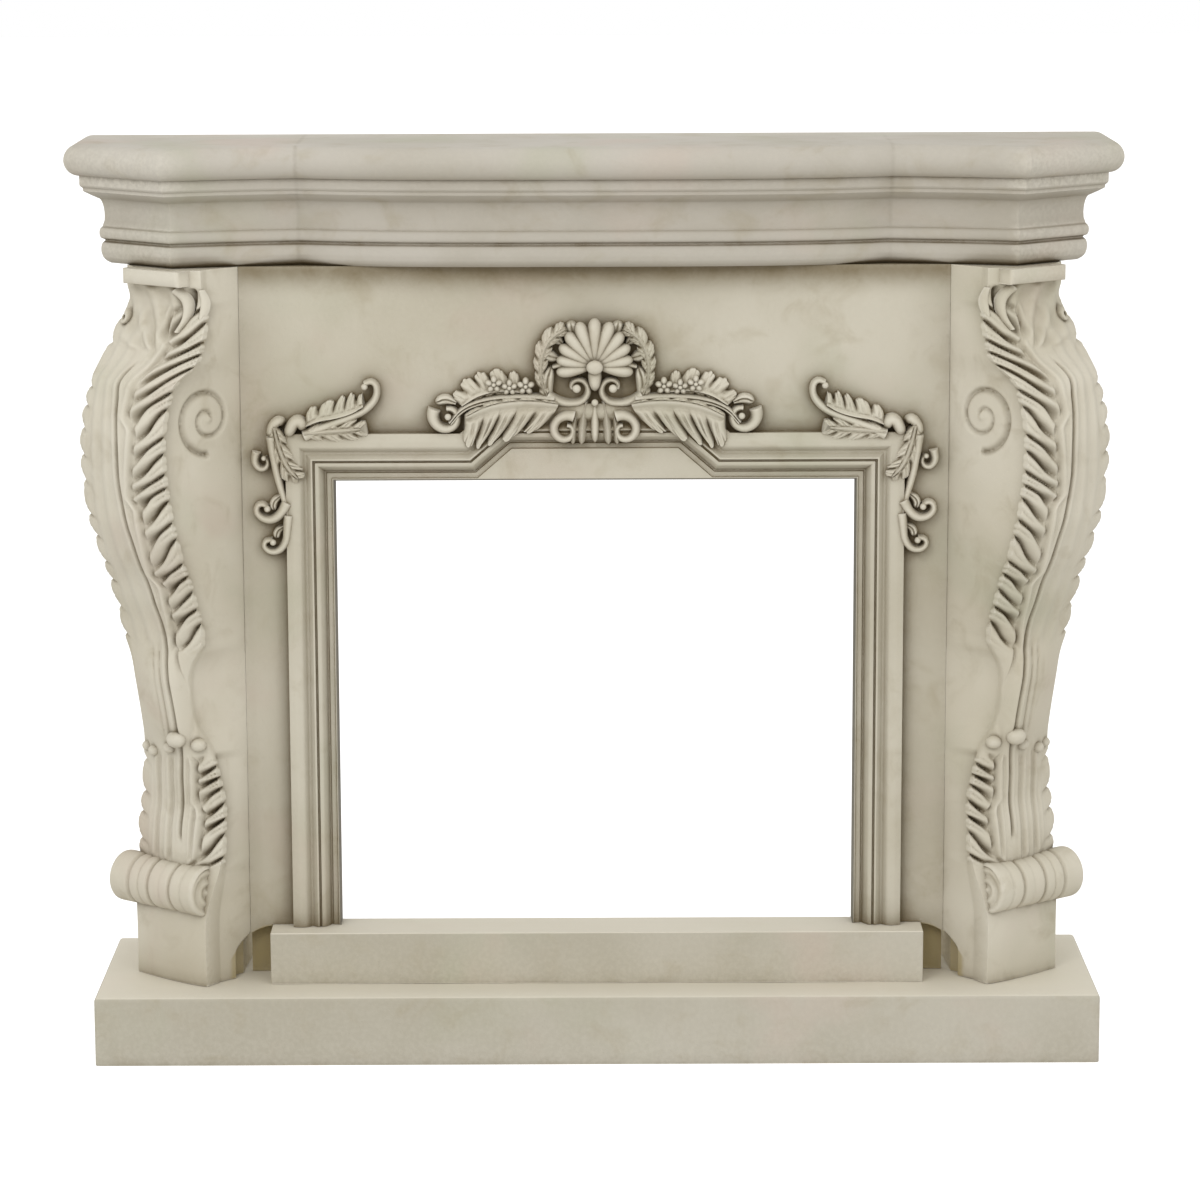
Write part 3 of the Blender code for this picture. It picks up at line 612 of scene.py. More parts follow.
# %% Leg outlines, in shares of the leg's height
LEG_FACE = (
    (0.000, 0.0080), (0.094, 0.0080), (0.125, 0.0060), (0.160, 0.0030), (0.197, 0.0020), (0.225, 0.0000),
    (0.255, -0.0040), (0.290, -0.0010), (0.333, 0.0060), (0.372, 0.0225), (0.430, 0.0335), (0.458, 0.0330),
    (0.485, 0.0290), (0.515, 0.0335), (0.544, 0.0437), (0.574, 0.0533), (0.604, 0.0674), (0.633, 0.0778),
    (0.662, 0.0887), (0.691, 0.0958), (0.719, 0.1008), (0.750, 0.1025), (0.774, 0.1022), (0.801, 0.0975),
    (0.827, 0.0885), (0.850, 0.0760), (0.877, 0.0430), (0.903, 0.0279), (0.929, 0.0130), (0.955, 0.0073),
    (0.979, 0.0100),
)
LEG_WIDTH = (
    (0.000, 0.0663), (0.094, 0.0663), (0.150, 0.0740), (0.197, 0.0797), (0.252, 0.0768), (0.304, 0.0690),
    (0.333, 0.0620), (0.372, 0.0503), (0.430, 0.0505), (0.458, 0.0570), (0.485, 0.0720), (0.515, 0.0751),
    (0.604, 0.0757), (0.662, 0.0775), (0.800, 0.0755), (0.850, 0.0765), (0.877, 0.0865), (0.903, 0.0840),
    (0.929, 0.0774), (0.955, 0.0700), (0.979, 0.0688),
)
LEG_MIDRIB = (
    (0.180, -0.0190), (0.242, -0.0209), (0.290, -0.0236), (0.383, -0.0366), (0.474, -0.0303),
    (0.549, -0.0229), (0.629, -0.0170), (0.720, -0.0128), (0.774, -0.0120), (0.828, -0.0023),
    (0.860, 0.0060), (0.900, -0.0080), (0.979, -0.0120),
)
FACE_BULGE, EDGE_THICKNESS, PIER_X = 0.022, 0.030, 0.6547
KNEE_BACK, KNEE_AT, KNEE_SPREAD = 0.0175, 0.765, 0.100


def leg_place(side, across, forward, height):
    """From the leg's own axes to the room: side is -1 for the left leg and 1 for the right one."""
    x = side * (LEG_X + across * math.cos(LEG_CANT) + forward * math.sin(LEG_CANT))
    y = LEG_Y + across * math.sin(LEG_CANT) - forward * math.cos(LEG_CANT)
    y = y + KNEE_BACK * np.exp(-((height / LEG_SIZE - KNEE_AT) / KNEE_SPREAD) ** 4)
    return np.stack(np.broadcast_arrays(x, y, PLINTH_TOP + GAP + height), axis=-1)


def face_bulge(share):
    """How far the face's edges lie behind its middle; the foot is nearly flat."""
    return FACE_BULGE * LEG_SIZE * (0.22 + 0.78 * step(0.09, 0.19, share))


# %% Carving of the leg's face
def ripple(phase, sharpness=2.2):
    """Round lobes that meet in narrow grooves: 0 in a groove and 1 on a lobe."""
    return 1 - np.abs(2 * (phase - np.floor(phase)) - 1) ** sharpness


def slot_at(phase, width):
    """1 where the phase passes a whole number, fading out over a width."""
    return np.exp(-((phase - np.round(phase)) / width) ** 2)


def window(share, start, end, soft):
    return step(start - soft, start + soft, share) * (1 - step(end - soft, end + soft, share))


def leaf_lobes(height, away, reach, pitch):
    """Lobes that rise outward from the midrib, in groups of two between deep hollows."""
    wander = 0.0040 * np.sin(height * 41.0) + 0.0030 * np.sin(height * 97.0 + 1.0)
    phase = (height + wander - 0.66 * away - 0.12 * away ** 2 / reach) / pitch
    ratio = away / reach
    lobe = ripple(phase, 1.9)
    width = 0.30 - 0.21 * np.clip(1.6 * ratio - 0.6, 0, 1)
    hollow = slot_at(phase, width) * (0.70 + 0.30 * np.sin(height * 103.0 + 0.8))
    teeth = ripple(phase * 2, 2.2)
    return phase, ratio, lobe, hollow, teeth


def face_relief(share, columns):
    """Across and forward, in metres, for rows at a share of the height and columns from -1 to 1."""
    share, column = share[:, None], columns[None, :]
    half, middle = along(LEG_WIDTH, share) * LEG_SIZE, along(LEG_MIDRIB, share) * LEG_SIZE
    height = share * LEG_SIZE
    size = np.abs(column)
    inner = column < 0
    reach = np.where(inner, half + middle, half - middle)
    away = size * reach
    offset = column * reach
    across = middle + offset
    long_leaf = window(share, 0.482, 0.872, 0.010)
    low_leaf = window(share, 0.172, 0.322, 0.008)
    top_leaf = window(share, 0.858, 0.948, 0.008)
    leaves = np.clip(long_leaf + low_leaf + top_leaf, 0, 1)

    leaf_phase, ratio, lobe, hollow, teeth = leaf_lobes(height, away, reach, 0.0255)
    beat = height / 0.118 + 0.62
    beat = beat - np.floor(beat)
    root = 0.27 + 0.20 * beat * (1 - step(0.80, 1.0, beat)) + 0.16 * low_leaf
    open_leaf = step(root - 0.01, root + 0.10, ratio)
    eye = 0.16 + 0.84 * np.exp(-((ratio - root - 0.20) / 0.17) ** 2)
    carve = -0.0145 * hollow * open_leaf * eye
    carve -= 0.0046 * slot_at(leaf_phase, 0.070) * step(root + 0.16, root + 0.34, ratio)
    carve += (0.0050 * lobe - 0.0030) * open_leaf
    carve += 0.0026 * (teeth - 0.5) * step(0.60, 0.84, ratio)
    carve -= 0.0050 * np.exp(-((ratio - root) / 0.045) ** 2)
    carve += 0.0040 * np.exp(-((ratio - root + 0.10) / 0.07) ** 2)
    inner_scallop = (0.0040 * (lobe - 0.6) + 0.0022 * (teeth - 0.6) - 0.0030 * hollow) * ratio ** 3

    beat = height + 0.006 * np.sin(height * 29.0) + 0.004 * np.sin(height * 71.0)
    phase = (beat - 0.45 * away) / 0.0400
    flute = ratio + 0.05 * np.sin(height * 17.0)
    smooth = 0.0017 * np.cos(2 * math.pi * flute * 3.3) * step(0.10, 0.25, ratio)
    smooth *= 1 - step(0.80, 1.0, ratio)
    smooth -= 0.0034 * slot_at(phase, 0.10) * step(0.72, 0.98, ratio)
    smooth += 0.0022 * ripple(phase) * step(0.62, 1.0, ratio)
    smooth -= 0.0014 * slot_at(phase * 2 + 0.5, 0.10) * step(0.76, 0.98, ratio)
    outer_scallop = (0.0032 * (ripple(phase) - 0.7) - 0.0028 * slot_at(phase, 0.10)) * ratio ** 4

    relief = np.where(inner, carve, smooth) * leaves
    scallop = np.where(inner, inner_scallop, outer_scallop) * leaves

    stem = -0.0042 * np.exp(-(offset / 0.0022) ** 2) + 0.0026 * np.exp(-((offset - 0.0065) / 0.0040) ** 2)
    stem += 0.0026 * np.exp(-((offset + 0.0065) / 0.0040) ** 2)
    relief += stem * window(share, 0.205, 0.872, 0.012)
    waist = window(share, 0.352, 0.485, 0.012)
    groove = np.exp(-((offset + 0.0150) / 0.0020) ** 2) + 0.6 * np.exp(-((offset - 0.0170) / 0.0020) ** 2)
    groove += 0.5 * np.exp(-((offset - 0.0300) / 0.0020) ** 2)
    relief -= waist * 0.0038 * groove
    ribs = 0.0016 * np.cos(offset * 2 * math.pi / 0.0150) * step(0.008, 0.016, np.abs(offset))
    relief += ribs * low_leaf * (1 - np.where(inner, open_leaf, step(0.60, 0.80, ratio)))

    collar = window(share, 0.893, 0.9745, 0.005)
    fan = np.arctan2(across + 0.040, np.maximum(height - 0.935, 0.002))
    spoke = np.hypot(across + 0.040, height - 0.935)
    covered = np.where(inner, open_leaf, 0) * top_leaf
    relief += collar * 0.0030 * np.cos(fan * 17.0) * step(0.020, 0.050, spoke) * (1 - covered)
    gap = np.exp(-((across + 0.062) / 0.0040) ** 2) * window(share, 0.944, 0.974, 0.003)
    relief -= 0.0150 * gap

    across = middle + column * (reach + scallop)
    forward = along(LEG_FACE, share) * LEG_SIZE - face_bulge(share) * size ** 2.2 + relief
    return across, forward, half, leaves


print("carving ready")

# %% Spiral cut into the leg's cheek
SPIRAL_FORWARD, SPIRAL_HEIGHT, SPIRAL_RADIUS = -0.024, 0.859, 0.053


def spiral_groove(forward, height):
    """Depth of the spiral: it starts below, climbs over the front and winds in one and three quarters."""
    back, up = SPIRAL_FORWARD - forward, height - SPIRAL_HEIGHT
    radius = np.hypot(back, up)
    angle = np.arctan2(up, back)
    first = ((-math.pi / 2 - angle) / (2 * math.pi)) % 1.0
    depth = np.zeros_like(radius)
    for lap in (0, 1):
        turn = first + lap
        line = SPIRAL_RADIUS - 0.028 * turn
        inside = (turn < 1.7) & (line > 0.004)
        wide = 0.0044 - 0.0011 * turn
        groove = (0.0075 - 0.0024 * turn) * np.exp(-((radius - line) / wide) ** 2)
        depth = np.maximum(depth, np.where(inside, groove, 0.0))
    eye = 0.0025 * np.exp(-(radius / 0.006) ** 4)
    swell = 0.0020 * np.exp(-(radius / 0.040) ** 4)
    return depth - swell - eye


# %% Body of one leg
LEG_ROWS, FACE_COLUMNS, CHEEK_COLUMNS = 470, 99, 56


def leg_body(side):
    share = np.linspace(0.0, 1.0, LEG_ROWS)
    columns = np.linspace(-1.0, 1.0, FACE_COLUMNS)
    columns = np.sign(columns) * np.abs(columns) ** 0.92
    across, forward, half, leaf = face_relief(share, columns)
    height = (share * LEG_SIZE)[:, None]
    face = leg_place(side, across, forward, height)

    base = along(LEG_FACE, share)[:, None] * LEG_SIZE
    overhang = 0.003 * LEG_SIZE + 0.0085 * np.clip(leaf, 0, 1)
    back = base - EDGE_THICKNESS * LEG_SIZE
    root = back - 0.0065
    outer_edge = across[:, -1:]
    inner_edge = across[:, :1]
    outer_return = leg_place(side, outer_edge - 0.0012, np.minimum(back, forward[:, -1:] - 0.003), height)
    inner_return = leg_place(side, inner_edge + 0.0012, np.minimum(back, forward[:, :1] - 0.003), height)
    outer_root = leg_place(side, half - overhang, root, height)
    inner_root = leg_place(side, overhang - half, root, height)

    level = PLINTH_TOP + GAP + share * LEG_SIZE
    run = np.maximum(np.abs(outer_root[:, 0, 0]) - PIER_X, 0.0)
    pier_y = np.minimum(outer_root[:, 0, 1] + run / math.tan(LEG_CANT) + 0.004, WALL_Y - 0.02)
    inner_x = PANEL_X + GAP
    pier = np.stack((np.full_like(level, side * PIER_X), pier_y, level), axis=-1)
    wall_out = np.stack((np.full_like(level, side * PIER_X), np.full_like(level, WALL_Y), level), axis=-1)
    wall_in = np.stack((np.full_like(level, side * inner_x), np.full_like(level, WALL_Y), level), axis=-1)
    panel_line = np.stack((np.full_like(level, side * inner_x),
                           np.full_like(level, PANEL_FRONT - GAP), level), axis=-1)

    blend_in = np.linspace(0.0, 1.0, CHEEK_COLUMNS)[None, :, None]
    cheek = panel_line[:, None, :] * (1 - blend_in) + inner_root * blend_in
    ahead = (-(cheek[..., 1] - LEG_Y) * math.cos(LEG_CANT)
             + (np.abs(cheek[..., 0]) - LEG_X) * math.sin(LEG_CANT))
    groove = spiral_groove(ahead, np.broadcast_to(height, ahead.shape))
    margin = np.sin(math.pi * np.clip(blend_in[..., 0], 0, 1)) ** 0.2
    normal = np.array([-side * math.cos(LEG_CANT), -math.sin(LEG_CANT), 0.0])
    beyond = np.abs(cheek[..., 0]) - RISER_HALF_WIDTH
    arch = NICHE_TOP - NICHE_FALL * beyond ** 2
    niche = step(0.0, 0.006, arch - level[:, None]) * (1 - step(0.046, 0.056, beyond)) * 0.016
    cheek = cheek - normal * (groove * margin + niche)[..., None]

    sweep_in = np.linspace(0.0, 1.0, 10)[1:-1][None, :, None]
    outer_cheek = outer_root * (1 - sweep_in) + pier[:, None, :] * sweep_in
    ring = np.concatenate((face, outer_return, outer_root, outer_cheek, pier[:, None, :],
                           wall_out[:, None, :], wall_in[:, None, :], cheek, inner_return), axis=1)
    return ring


# %% [markdown]
# Rolls, knobs and curls. The foot carries a ribbed scroll that ends in a flat volute, buds sit
# between waist and lower leaf, and the leaf under the cap turns over in curls. They are closed
# solids set into the leg, swept along short lines on its face.

# %% Strokes: tapering carved lobes along a line
LOBE_COLUMNS = 9


def stroke_section(kind):
    s = np.linspace(-1, 1, LOBE_COLUMNS)
    dome = np.sqrt(np.clip(1 - s ** 2, 0, 1))
    if kind == "ridge":
        return s, (1 - np.abs(s)) ** 0.8
    if kind == "vein":
        return s, dome * (1 - 0.42 * np.exp(-(s / 0.22) ** 2))
    return s, dome


def smooth_path(path, count):
    """A path's points spread evenly along a smooth curve through them."""
    path = np.asarray(path, dtype=float)
    if len(path) > 2:
        for _ in range(2):
            fore = path[:-1] * 0.75 + path[1:] * 0.25
            aft = path[:-1] * 0.25 + path[1:] * 0.75
            path = np.concatenate((path[:1], np.stack((fore, aft), axis=1).reshape(-1, 2), path[-1:]))
    travelled = np.concatenate(([0], np.cumsum(np.linalg.norm(np.diff(path, axis=0), axis=1))))
    at = np.linspace(0, travelled[-1], count)
    return np.stack([np.interp(at, travelled, path[:, k]) for k in (0, 1)], axis=1)


def stroke(casting, place, path, width, height, kind="round", shape="leaf", count=14,
           root=0.004, tip=0.0, base=0.0):
    """Sweep a section along a path; place maps flat u, v and height w to the room."""
    path = smooth_path(path, count)
    ahead = np.gradient(path, axis=0)
    ahead /= np.linalg.norm(ahead, axis=1)[:, None]
    normal = np.stack((-ahead[:, 1], ahead[:, 0]), axis=1)
    share = np.linspace(0, 1, count)
    if shape == "leaf":
        wide = np.where(share < 0.55, 0.45 + 0.55 * np.sin(math.pi / 2 * share / 0.55),
                        np.sqrt(np.clip(1 - ((share - 0.55) / 0.45) ** 2, 0.0, 1)))
        tall = (0.62 + 0.38 * share) * np.sqrt(np.clip(1 - (np.clip(share - 0.7, 0, 1) / 0.31) ** 2, 0.02, 1))
    elif shape == "curl":
        wide = 1.0 - 0.55 * share
        tall = 1.0 - 0.30 * share
    else:
        wide = np.sqrt(np.clip(1 - np.abs(2 * share - 1) ** 4, 0.02, 1))
        tall = wide
    wide = np.maximum(wide, 0.10)
    s, up = stroke_section(kind)
    rows = []
    for i in range(count):
        level = (up * height + base) * tall[i] + tip * share[i] ** 2
        u = path[i, 0] + normal[i, 0] * s * width * wide[i]
        v = path[i, 1] + normal[i, 1] * s * width * wide[i]
        under = np.full(2, -root)
        u = np.concatenate((u, u[[-1, 0]]))
        v = np.concatenate((v, v[[-1, 0]]))
        rows.append(place(u, v, np.concatenate((level, under))))
    casting.loft(np.array(rows))


def acanthus(casting, place, path, left, right, height, lobes, base=0.012, sweep=(0.3, 0.9), full=((0, 0.8), (1, 0.1)),
             split=0.30, rows=130, half_columns=13, root=0.004):
    """A carved leaf along a path. Left and right are its greatest half widths, and full scales them."""
    line = smooth_path(path, rows)
    ahead = np.gradient(line, axis=0)
    ahead /= np.linalg.norm(ahead, axis=1)[:, None]
    normal = np.stack((-ahead[:, 1], ahead[:, 0]), axis=1)
    share = np.linspace(0, 1, rows)[:, None]
    t = np.linspace(-1, 1, 2 * half_columns + 1)
    t = np.concatenate((t[:1], t, t[-1:]))[None, :]
    size = np.abs(t)
    phase = share * lobes + 0.06 * np.sin(share * lobes * 2.3)
    lobe = ripple(phase, 2.4)
    teeth = ripple(phase * 3, 2.0)
    reach = np.where(t > 0, left, right) * along(full, share)
    reach = reach * (1 - split * (1 - lobe) * size ** 2 - 0.06 * (1 - teeth) * size ** 3)
    forward = (sweep[0] + (sweep[1] - sweep[0]) * share) * reach * size ** 1.4
    u = line[:, :1] + normal[:, :1] * t * reach + ahead[:, :1] * forward
    v = line[:, 1:] + normal[:, 1:] * t * reach + ahead[:, 1:] * forward
    dome = 1 - 0.45 * size ** 2.6
    groove = (1 - lobe) * step(0.10, 0.50, size)
    vein = np.exp(-((phase - np.floor(phase) - 0.5) / 0.10) ** 2) * step(0.15, 0.45, size)
    w = base + height * (dome - 0.62 * groove - 0.20 * vein - 0.16 * (1 - teeth) * step(0.5, 0.9, size))
    w += height * (0.22 * np.exp(-(size / 0.10) ** 2) - 0.20 * np.exp(-((size - 0.17) / 0.07) ** 2))
    w[:, 0] = w[:, -1] = -root
    casting.loft(place(u, v, w))


def bend(start, angle, length, turn, count=8):
    """A line that sets out at an angle and turns evenly along its length."""
    points = [np.array(start, dtype=float)]
    for i in range(count):
        heading = math.radians(angle + turn * (i + 0.5) / count)
        points.append(points[-1] + np.array((math.cos(heading), math.sin(heading))) * length / count)
    return points


def curl(centre, radius, start, turns, close=0.72, count=26):
    """A spiral that winds in; negative turns wind clockwise."""
    share = np.linspace(0, 1, count)
    angle = math.radians(start) + 2 * math.pi * turns * share
    reach = radius * (1 - close * share)
    return np.stack((centre[0] + np.cos(angle) * reach, centre[1] + np.sin(angle) * reach), axis=1)


def leg_skin(side):
    """Place for strokes on a leg's face: u across in metres, v up in metres, w off the face."""
    def place(u, v, w):
        u, v, w = np.broadcast_arrays(u, v, w)
        share = v / LEG_SIZE
        half = along(LEG_WIDTH, share) * LEG_SIZE
        middle = along(LEG_MIDRIB, share) * LEG_SIZE
        reach = np.where(u < middle, half + middle, half - middle)
        size = np.clip(np.abs(u - middle) / reach, 0, 1.2)
        forward = along(LEG_FACE, share) * LEG_SIZE - face_bulge(share) * size ** 2.2
        return leg_place(side, u, forward + w, v)
    return place


def roll_solid(casting, side, low, high, centre_height, centre_forward, radius, grooves, flare=0.0):
    """A roll across the leg: a ribbed cylinder whose ends are shallow volutes."""
    spots = np.linspace(0, 1, 64)
    across = low + (high - low) * spots
    rows = []
    turn = np.linspace(0, 2 * math.pi, 40, endpoint=False)
    for spot, t in zip(spots, across):
        r = radius * (1 + flare * (abs(2 * spot - 1) ** 3))
        for groove, wide, deep in grooves:
            r -= deep * math.exp(-((t - groove) / wide) ** 2)
        edge = min(t - low, high - t) / 0.005
        if edge < 1:
            r -= 0.004 * (1 - math.sqrt(max(1 - (1 - edge) ** 2, 0)))
        rows.append(leg_place(side, t, centre_forward + r * np.cos(turn), centre_height + r * np.sin(turn)))
    dish = []
    for k in range(1, 16):
        r = (radius * (1 + flare) - 0.004) * (1 - k / 16)
        groove = 0.0030 * (0.5 - 0.5 * np.cos((1 - k / 16) * 2 * math.pi * 2.2 + turn))
        dish.append((r, groove))
    near = [leg_place(side, low + g, centre_forward + r * np.cos(turn), centre_height + r * np.sin(turn))
            for r, g in dish]
    far = [leg_place(side, high - g, centre_forward + r * np.cos(turn), centre_height + r * np.sin(turn))
           for r, g in dish]
    casting.loft(np.array(near[::-1] + rows + far))


# %% [markdown]
# Small round forms that repeat, such as the ribs of the shell, pearls, petals and buds, are a job
# for Geometry Nodes. One tree puts a tapered ball on each point of a mesh, turned and sized by two
# attributes of that point, and realizes the copies. The result is turned into a plain mesh and cast
# into the piece that it sits on.

# %% A Geometry Nodes tree that puts small forms on points


def forms_tree():
    tree = bpy.data.node_groups.new("small_forms", "GeometryNodeTree")
    face = tree.interface
    face.new_socket("Points", in_out='INPUT', socket_type='NodeSocketGeometry')
    for name, value in (("Segments", 14), ("Rings", 8)):
        face.new_socket(name, in_out='INPUT', socket_type='NodeSocketInt').default_value = value
    face.new_socket("Taper", in_out='INPUT', socket_type='NodeSocketFloat').default_value = 0.0
    face.new_socket("Finish", in_out='INPUT', socket_type='NodeSocketMaterial')
    face.new_socket("Forms", in_out='OUTPUT', socket_type='NodeSocketGeometry')
    group_in = tree.nodes.new("NodeGroupInput")
    group_out = tree.nodes.new("NodeGroupOutput")
    wires = {s.name: Wire(tree, s) for s in group_in.outputs if s.name}
    ball = add_node(tree, "GeometryNodeMeshUVSphere", {}, wires["Segments"], wires["Rings"], 1.0)
    spot = add_node(tree, "GeometryNodeInputPosition", {})
    x, y, z = (add_node(tree, "ShaderNodeSeparateXYZ", {}, spot, out=k) for k in range(3))
    swell = wires["Taper"] * z + 1.0
    moved = add_node(tree, "ShaderNodeCombineXYZ", {}, x * swell, y * swell, z)
    shaped = add_node(tree, "GeometryNodeSetPosition", {}, ball, None, moved)
    turn = add_node(tree, "GeometryNodeInputNamedAttribute", {"data_type": 'FLOAT_VECTOR'}, "turn")
    size = add_node(tree, "GeometryNodeInputNamedAttribute", {"data_type": 'FLOAT_VECTOR'}, "size")
    spin = add_node(tree, "FunctionNodeEulerToRotation", {}, turn)
    copies = add_node(tree, "GeometryNodeInstanceOnPoints", {}, wires["Points"], Instance=shaped,
                      Rotation=spin, Scale=size)
    solid = add_node(tree, "GeometryNodeRealizeInstances", {}, copies)
    finished = add_node(tree, "GeometryNodeSetMaterial", {}, solid, None, wires["Finish"])
    tree.links.new(finished.socket, group_out.inputs["Forms"])
    return tree


SMALL_FORMS = forms_tree()


def put_forms(casting, forms, taper=0.0, segments=14, rings=8):
    """Put a ball on each (place, turn, size) and add the result to the casting."""
    mesh = bpy.data.meshes.new("form_points")
    mesh.from_pydata([place for place, _, _ in forms], [], [])
    for name, index in (("turn", 1), ("size", 2)):
        attribute = mesh.attributes.new(name, 'FLOAT_VECTOR', 'POINT')
        attribute.data.foreach_set("vector", np.array([f[index] for f in forms], dtype=np.float32).ravel())
    holder = bpy.data.objects.new("form_points", mesh)
    bpy.context.scene.collection.objects.link(holder)
    modifier = holder.modifiers.new("forms", 'NODES')
    modifier.node_group = SMALL_FORMS
    values = {"Segments": segments, "Rings": rings, "Taper": taper, "Finish": CREAM}
    for item in SMALL_FORMS.interface.items_tree:
        if item.in_out == 'INPUT' and item.name in values:
            modifier[item.identifier] = values[item.name]
    graph = bpy.context.evaluated_depsgraph_get()
    result = bpy.data.meshes.new_from_object(holder.evaluated_get(graph), depsgraph=graph)
    casting.add([v.co for v in result.vertices], [tuple(p.vertices) for p in result.polygons])
    holder.modifiers.remove(modifier)
    bpy.data.objects.remove(holder)
    print(casting.name, "gets", len(forms), "small forms")


# %% [markdown]
# Each leg is one casting: the carved body, the scroll, the cap, the curls at the top and the knobs
# between the waist and the lower leaf. The right leg is the left one mirrored.

# %% Build both legs
def leg_piece(side, name, node):
    casting = Casting(name)
    casting.loft(leg_body(side))
    skin = leg_skin(side)
    foot_face = -0.0105
    roll_solid(casting, side, -0.070, 0.101, 0.1460, foot_face + 0.0054, 0.0388,
               ((0.0615, 0.0026, 0.0042), (0.0212, 0.0026, 0.0042), (-0.0223, 0.0026, 0.0042),
                (0.0410, 0.0020, 0.0016), (-0.0010, 0.0020, 0.0016), (-0.0460, 0.0020, 0.0016)))
    cap_low, cap_high = 0.979 * LEG_SIZE, LEG_SIZE - 0.0006
    outline = eased([(-0.0560, -0.040), (-0.0560, 0.0213), (0.0475, 0.0213), (0.0475, -0.040)], 0.006, 4)
    cap = []
    for height, swell in ((cap_low, -0.0015), (cap_low + 0.0015, 0.0), (cap_high - 0.0015, 0.0), (cap_high, -0.0012)):
        cap.append([leg_place(side, np.array(t * LEG_SIZE + math.copysign(swell, t)),
                              np.array(f * LEG_SIZE + (swell if f > 0 else 0)), np.array(height))
                    for t, f in outline])
    casting.loft(np.array(cap))
    return casting, skin


for side, name, node in ((-1, "carved_left_leg", "left_leg"), (1, "carved_right_leg", "right_leg")):
    casting, skin = leg_piece(side, name, node)
    stroke(casting, skin, [(-0.044, 1.050), (-0.058, 1.035), (-0.060, 1.010), (-0.052, 0.990)], 0.0075, 0.010, "round",
           "curl", count=24)
    stroke(casting, skin, [(-0.074, 1.050), (-0.078, 1.030), (-0.078, 1.005)], 0.0042, 0.006, "round", "leaf")
    stroke(casting, skin, curl((0.0660, 1.003), 0.0085, 100, 1.0, 0.5), 0.0060, 0.010, "round", "curl", count=22)
    knobs = ((-0.0328, 0.3790, 0.0155, 0.0020), (-0.0585, 0.3700, 0.0120, 0.0020), (0.0342, 0.3490, 0.0100, 0.0000),
             (-0.0080, 0.3610, 0.0100, 0.0000), (0.0560, 0.3520, 0.0095, -0.0010))
    put_forms(casting, [(tuple(skin(u, v, w)), (0, 0, 0), (r, r, r * 0.85)) for u, v, r, w in knobs], segments=18)
    casting.finish(CREAM, "aged_cream_stone", crease=50, replaces=(node,))

# %% [markdown]
# The crest is a shell in a ring of scrolls, over the middle of the frame. Two acanthus leaves sweep
# down over the mouldings on both sides, with blossoms above them and a curl at each end. It is
# modelled the way a carver lays it out: each lobe is one stroke along a short curve, and strokes
# overlap as leaves do. The right half is the left one mirrored.

# %% Strokes on the panel
CREST_MIDDLE = 1.0327


def panel_skin(side, middle=0.0):
    def place(u, v, w):
        u, v, w = np.broadcast_arrays(u, v, w)
        return np.stack((-side * u, PANEL_FRONT - w, v + middle), axis=-1)
    return place


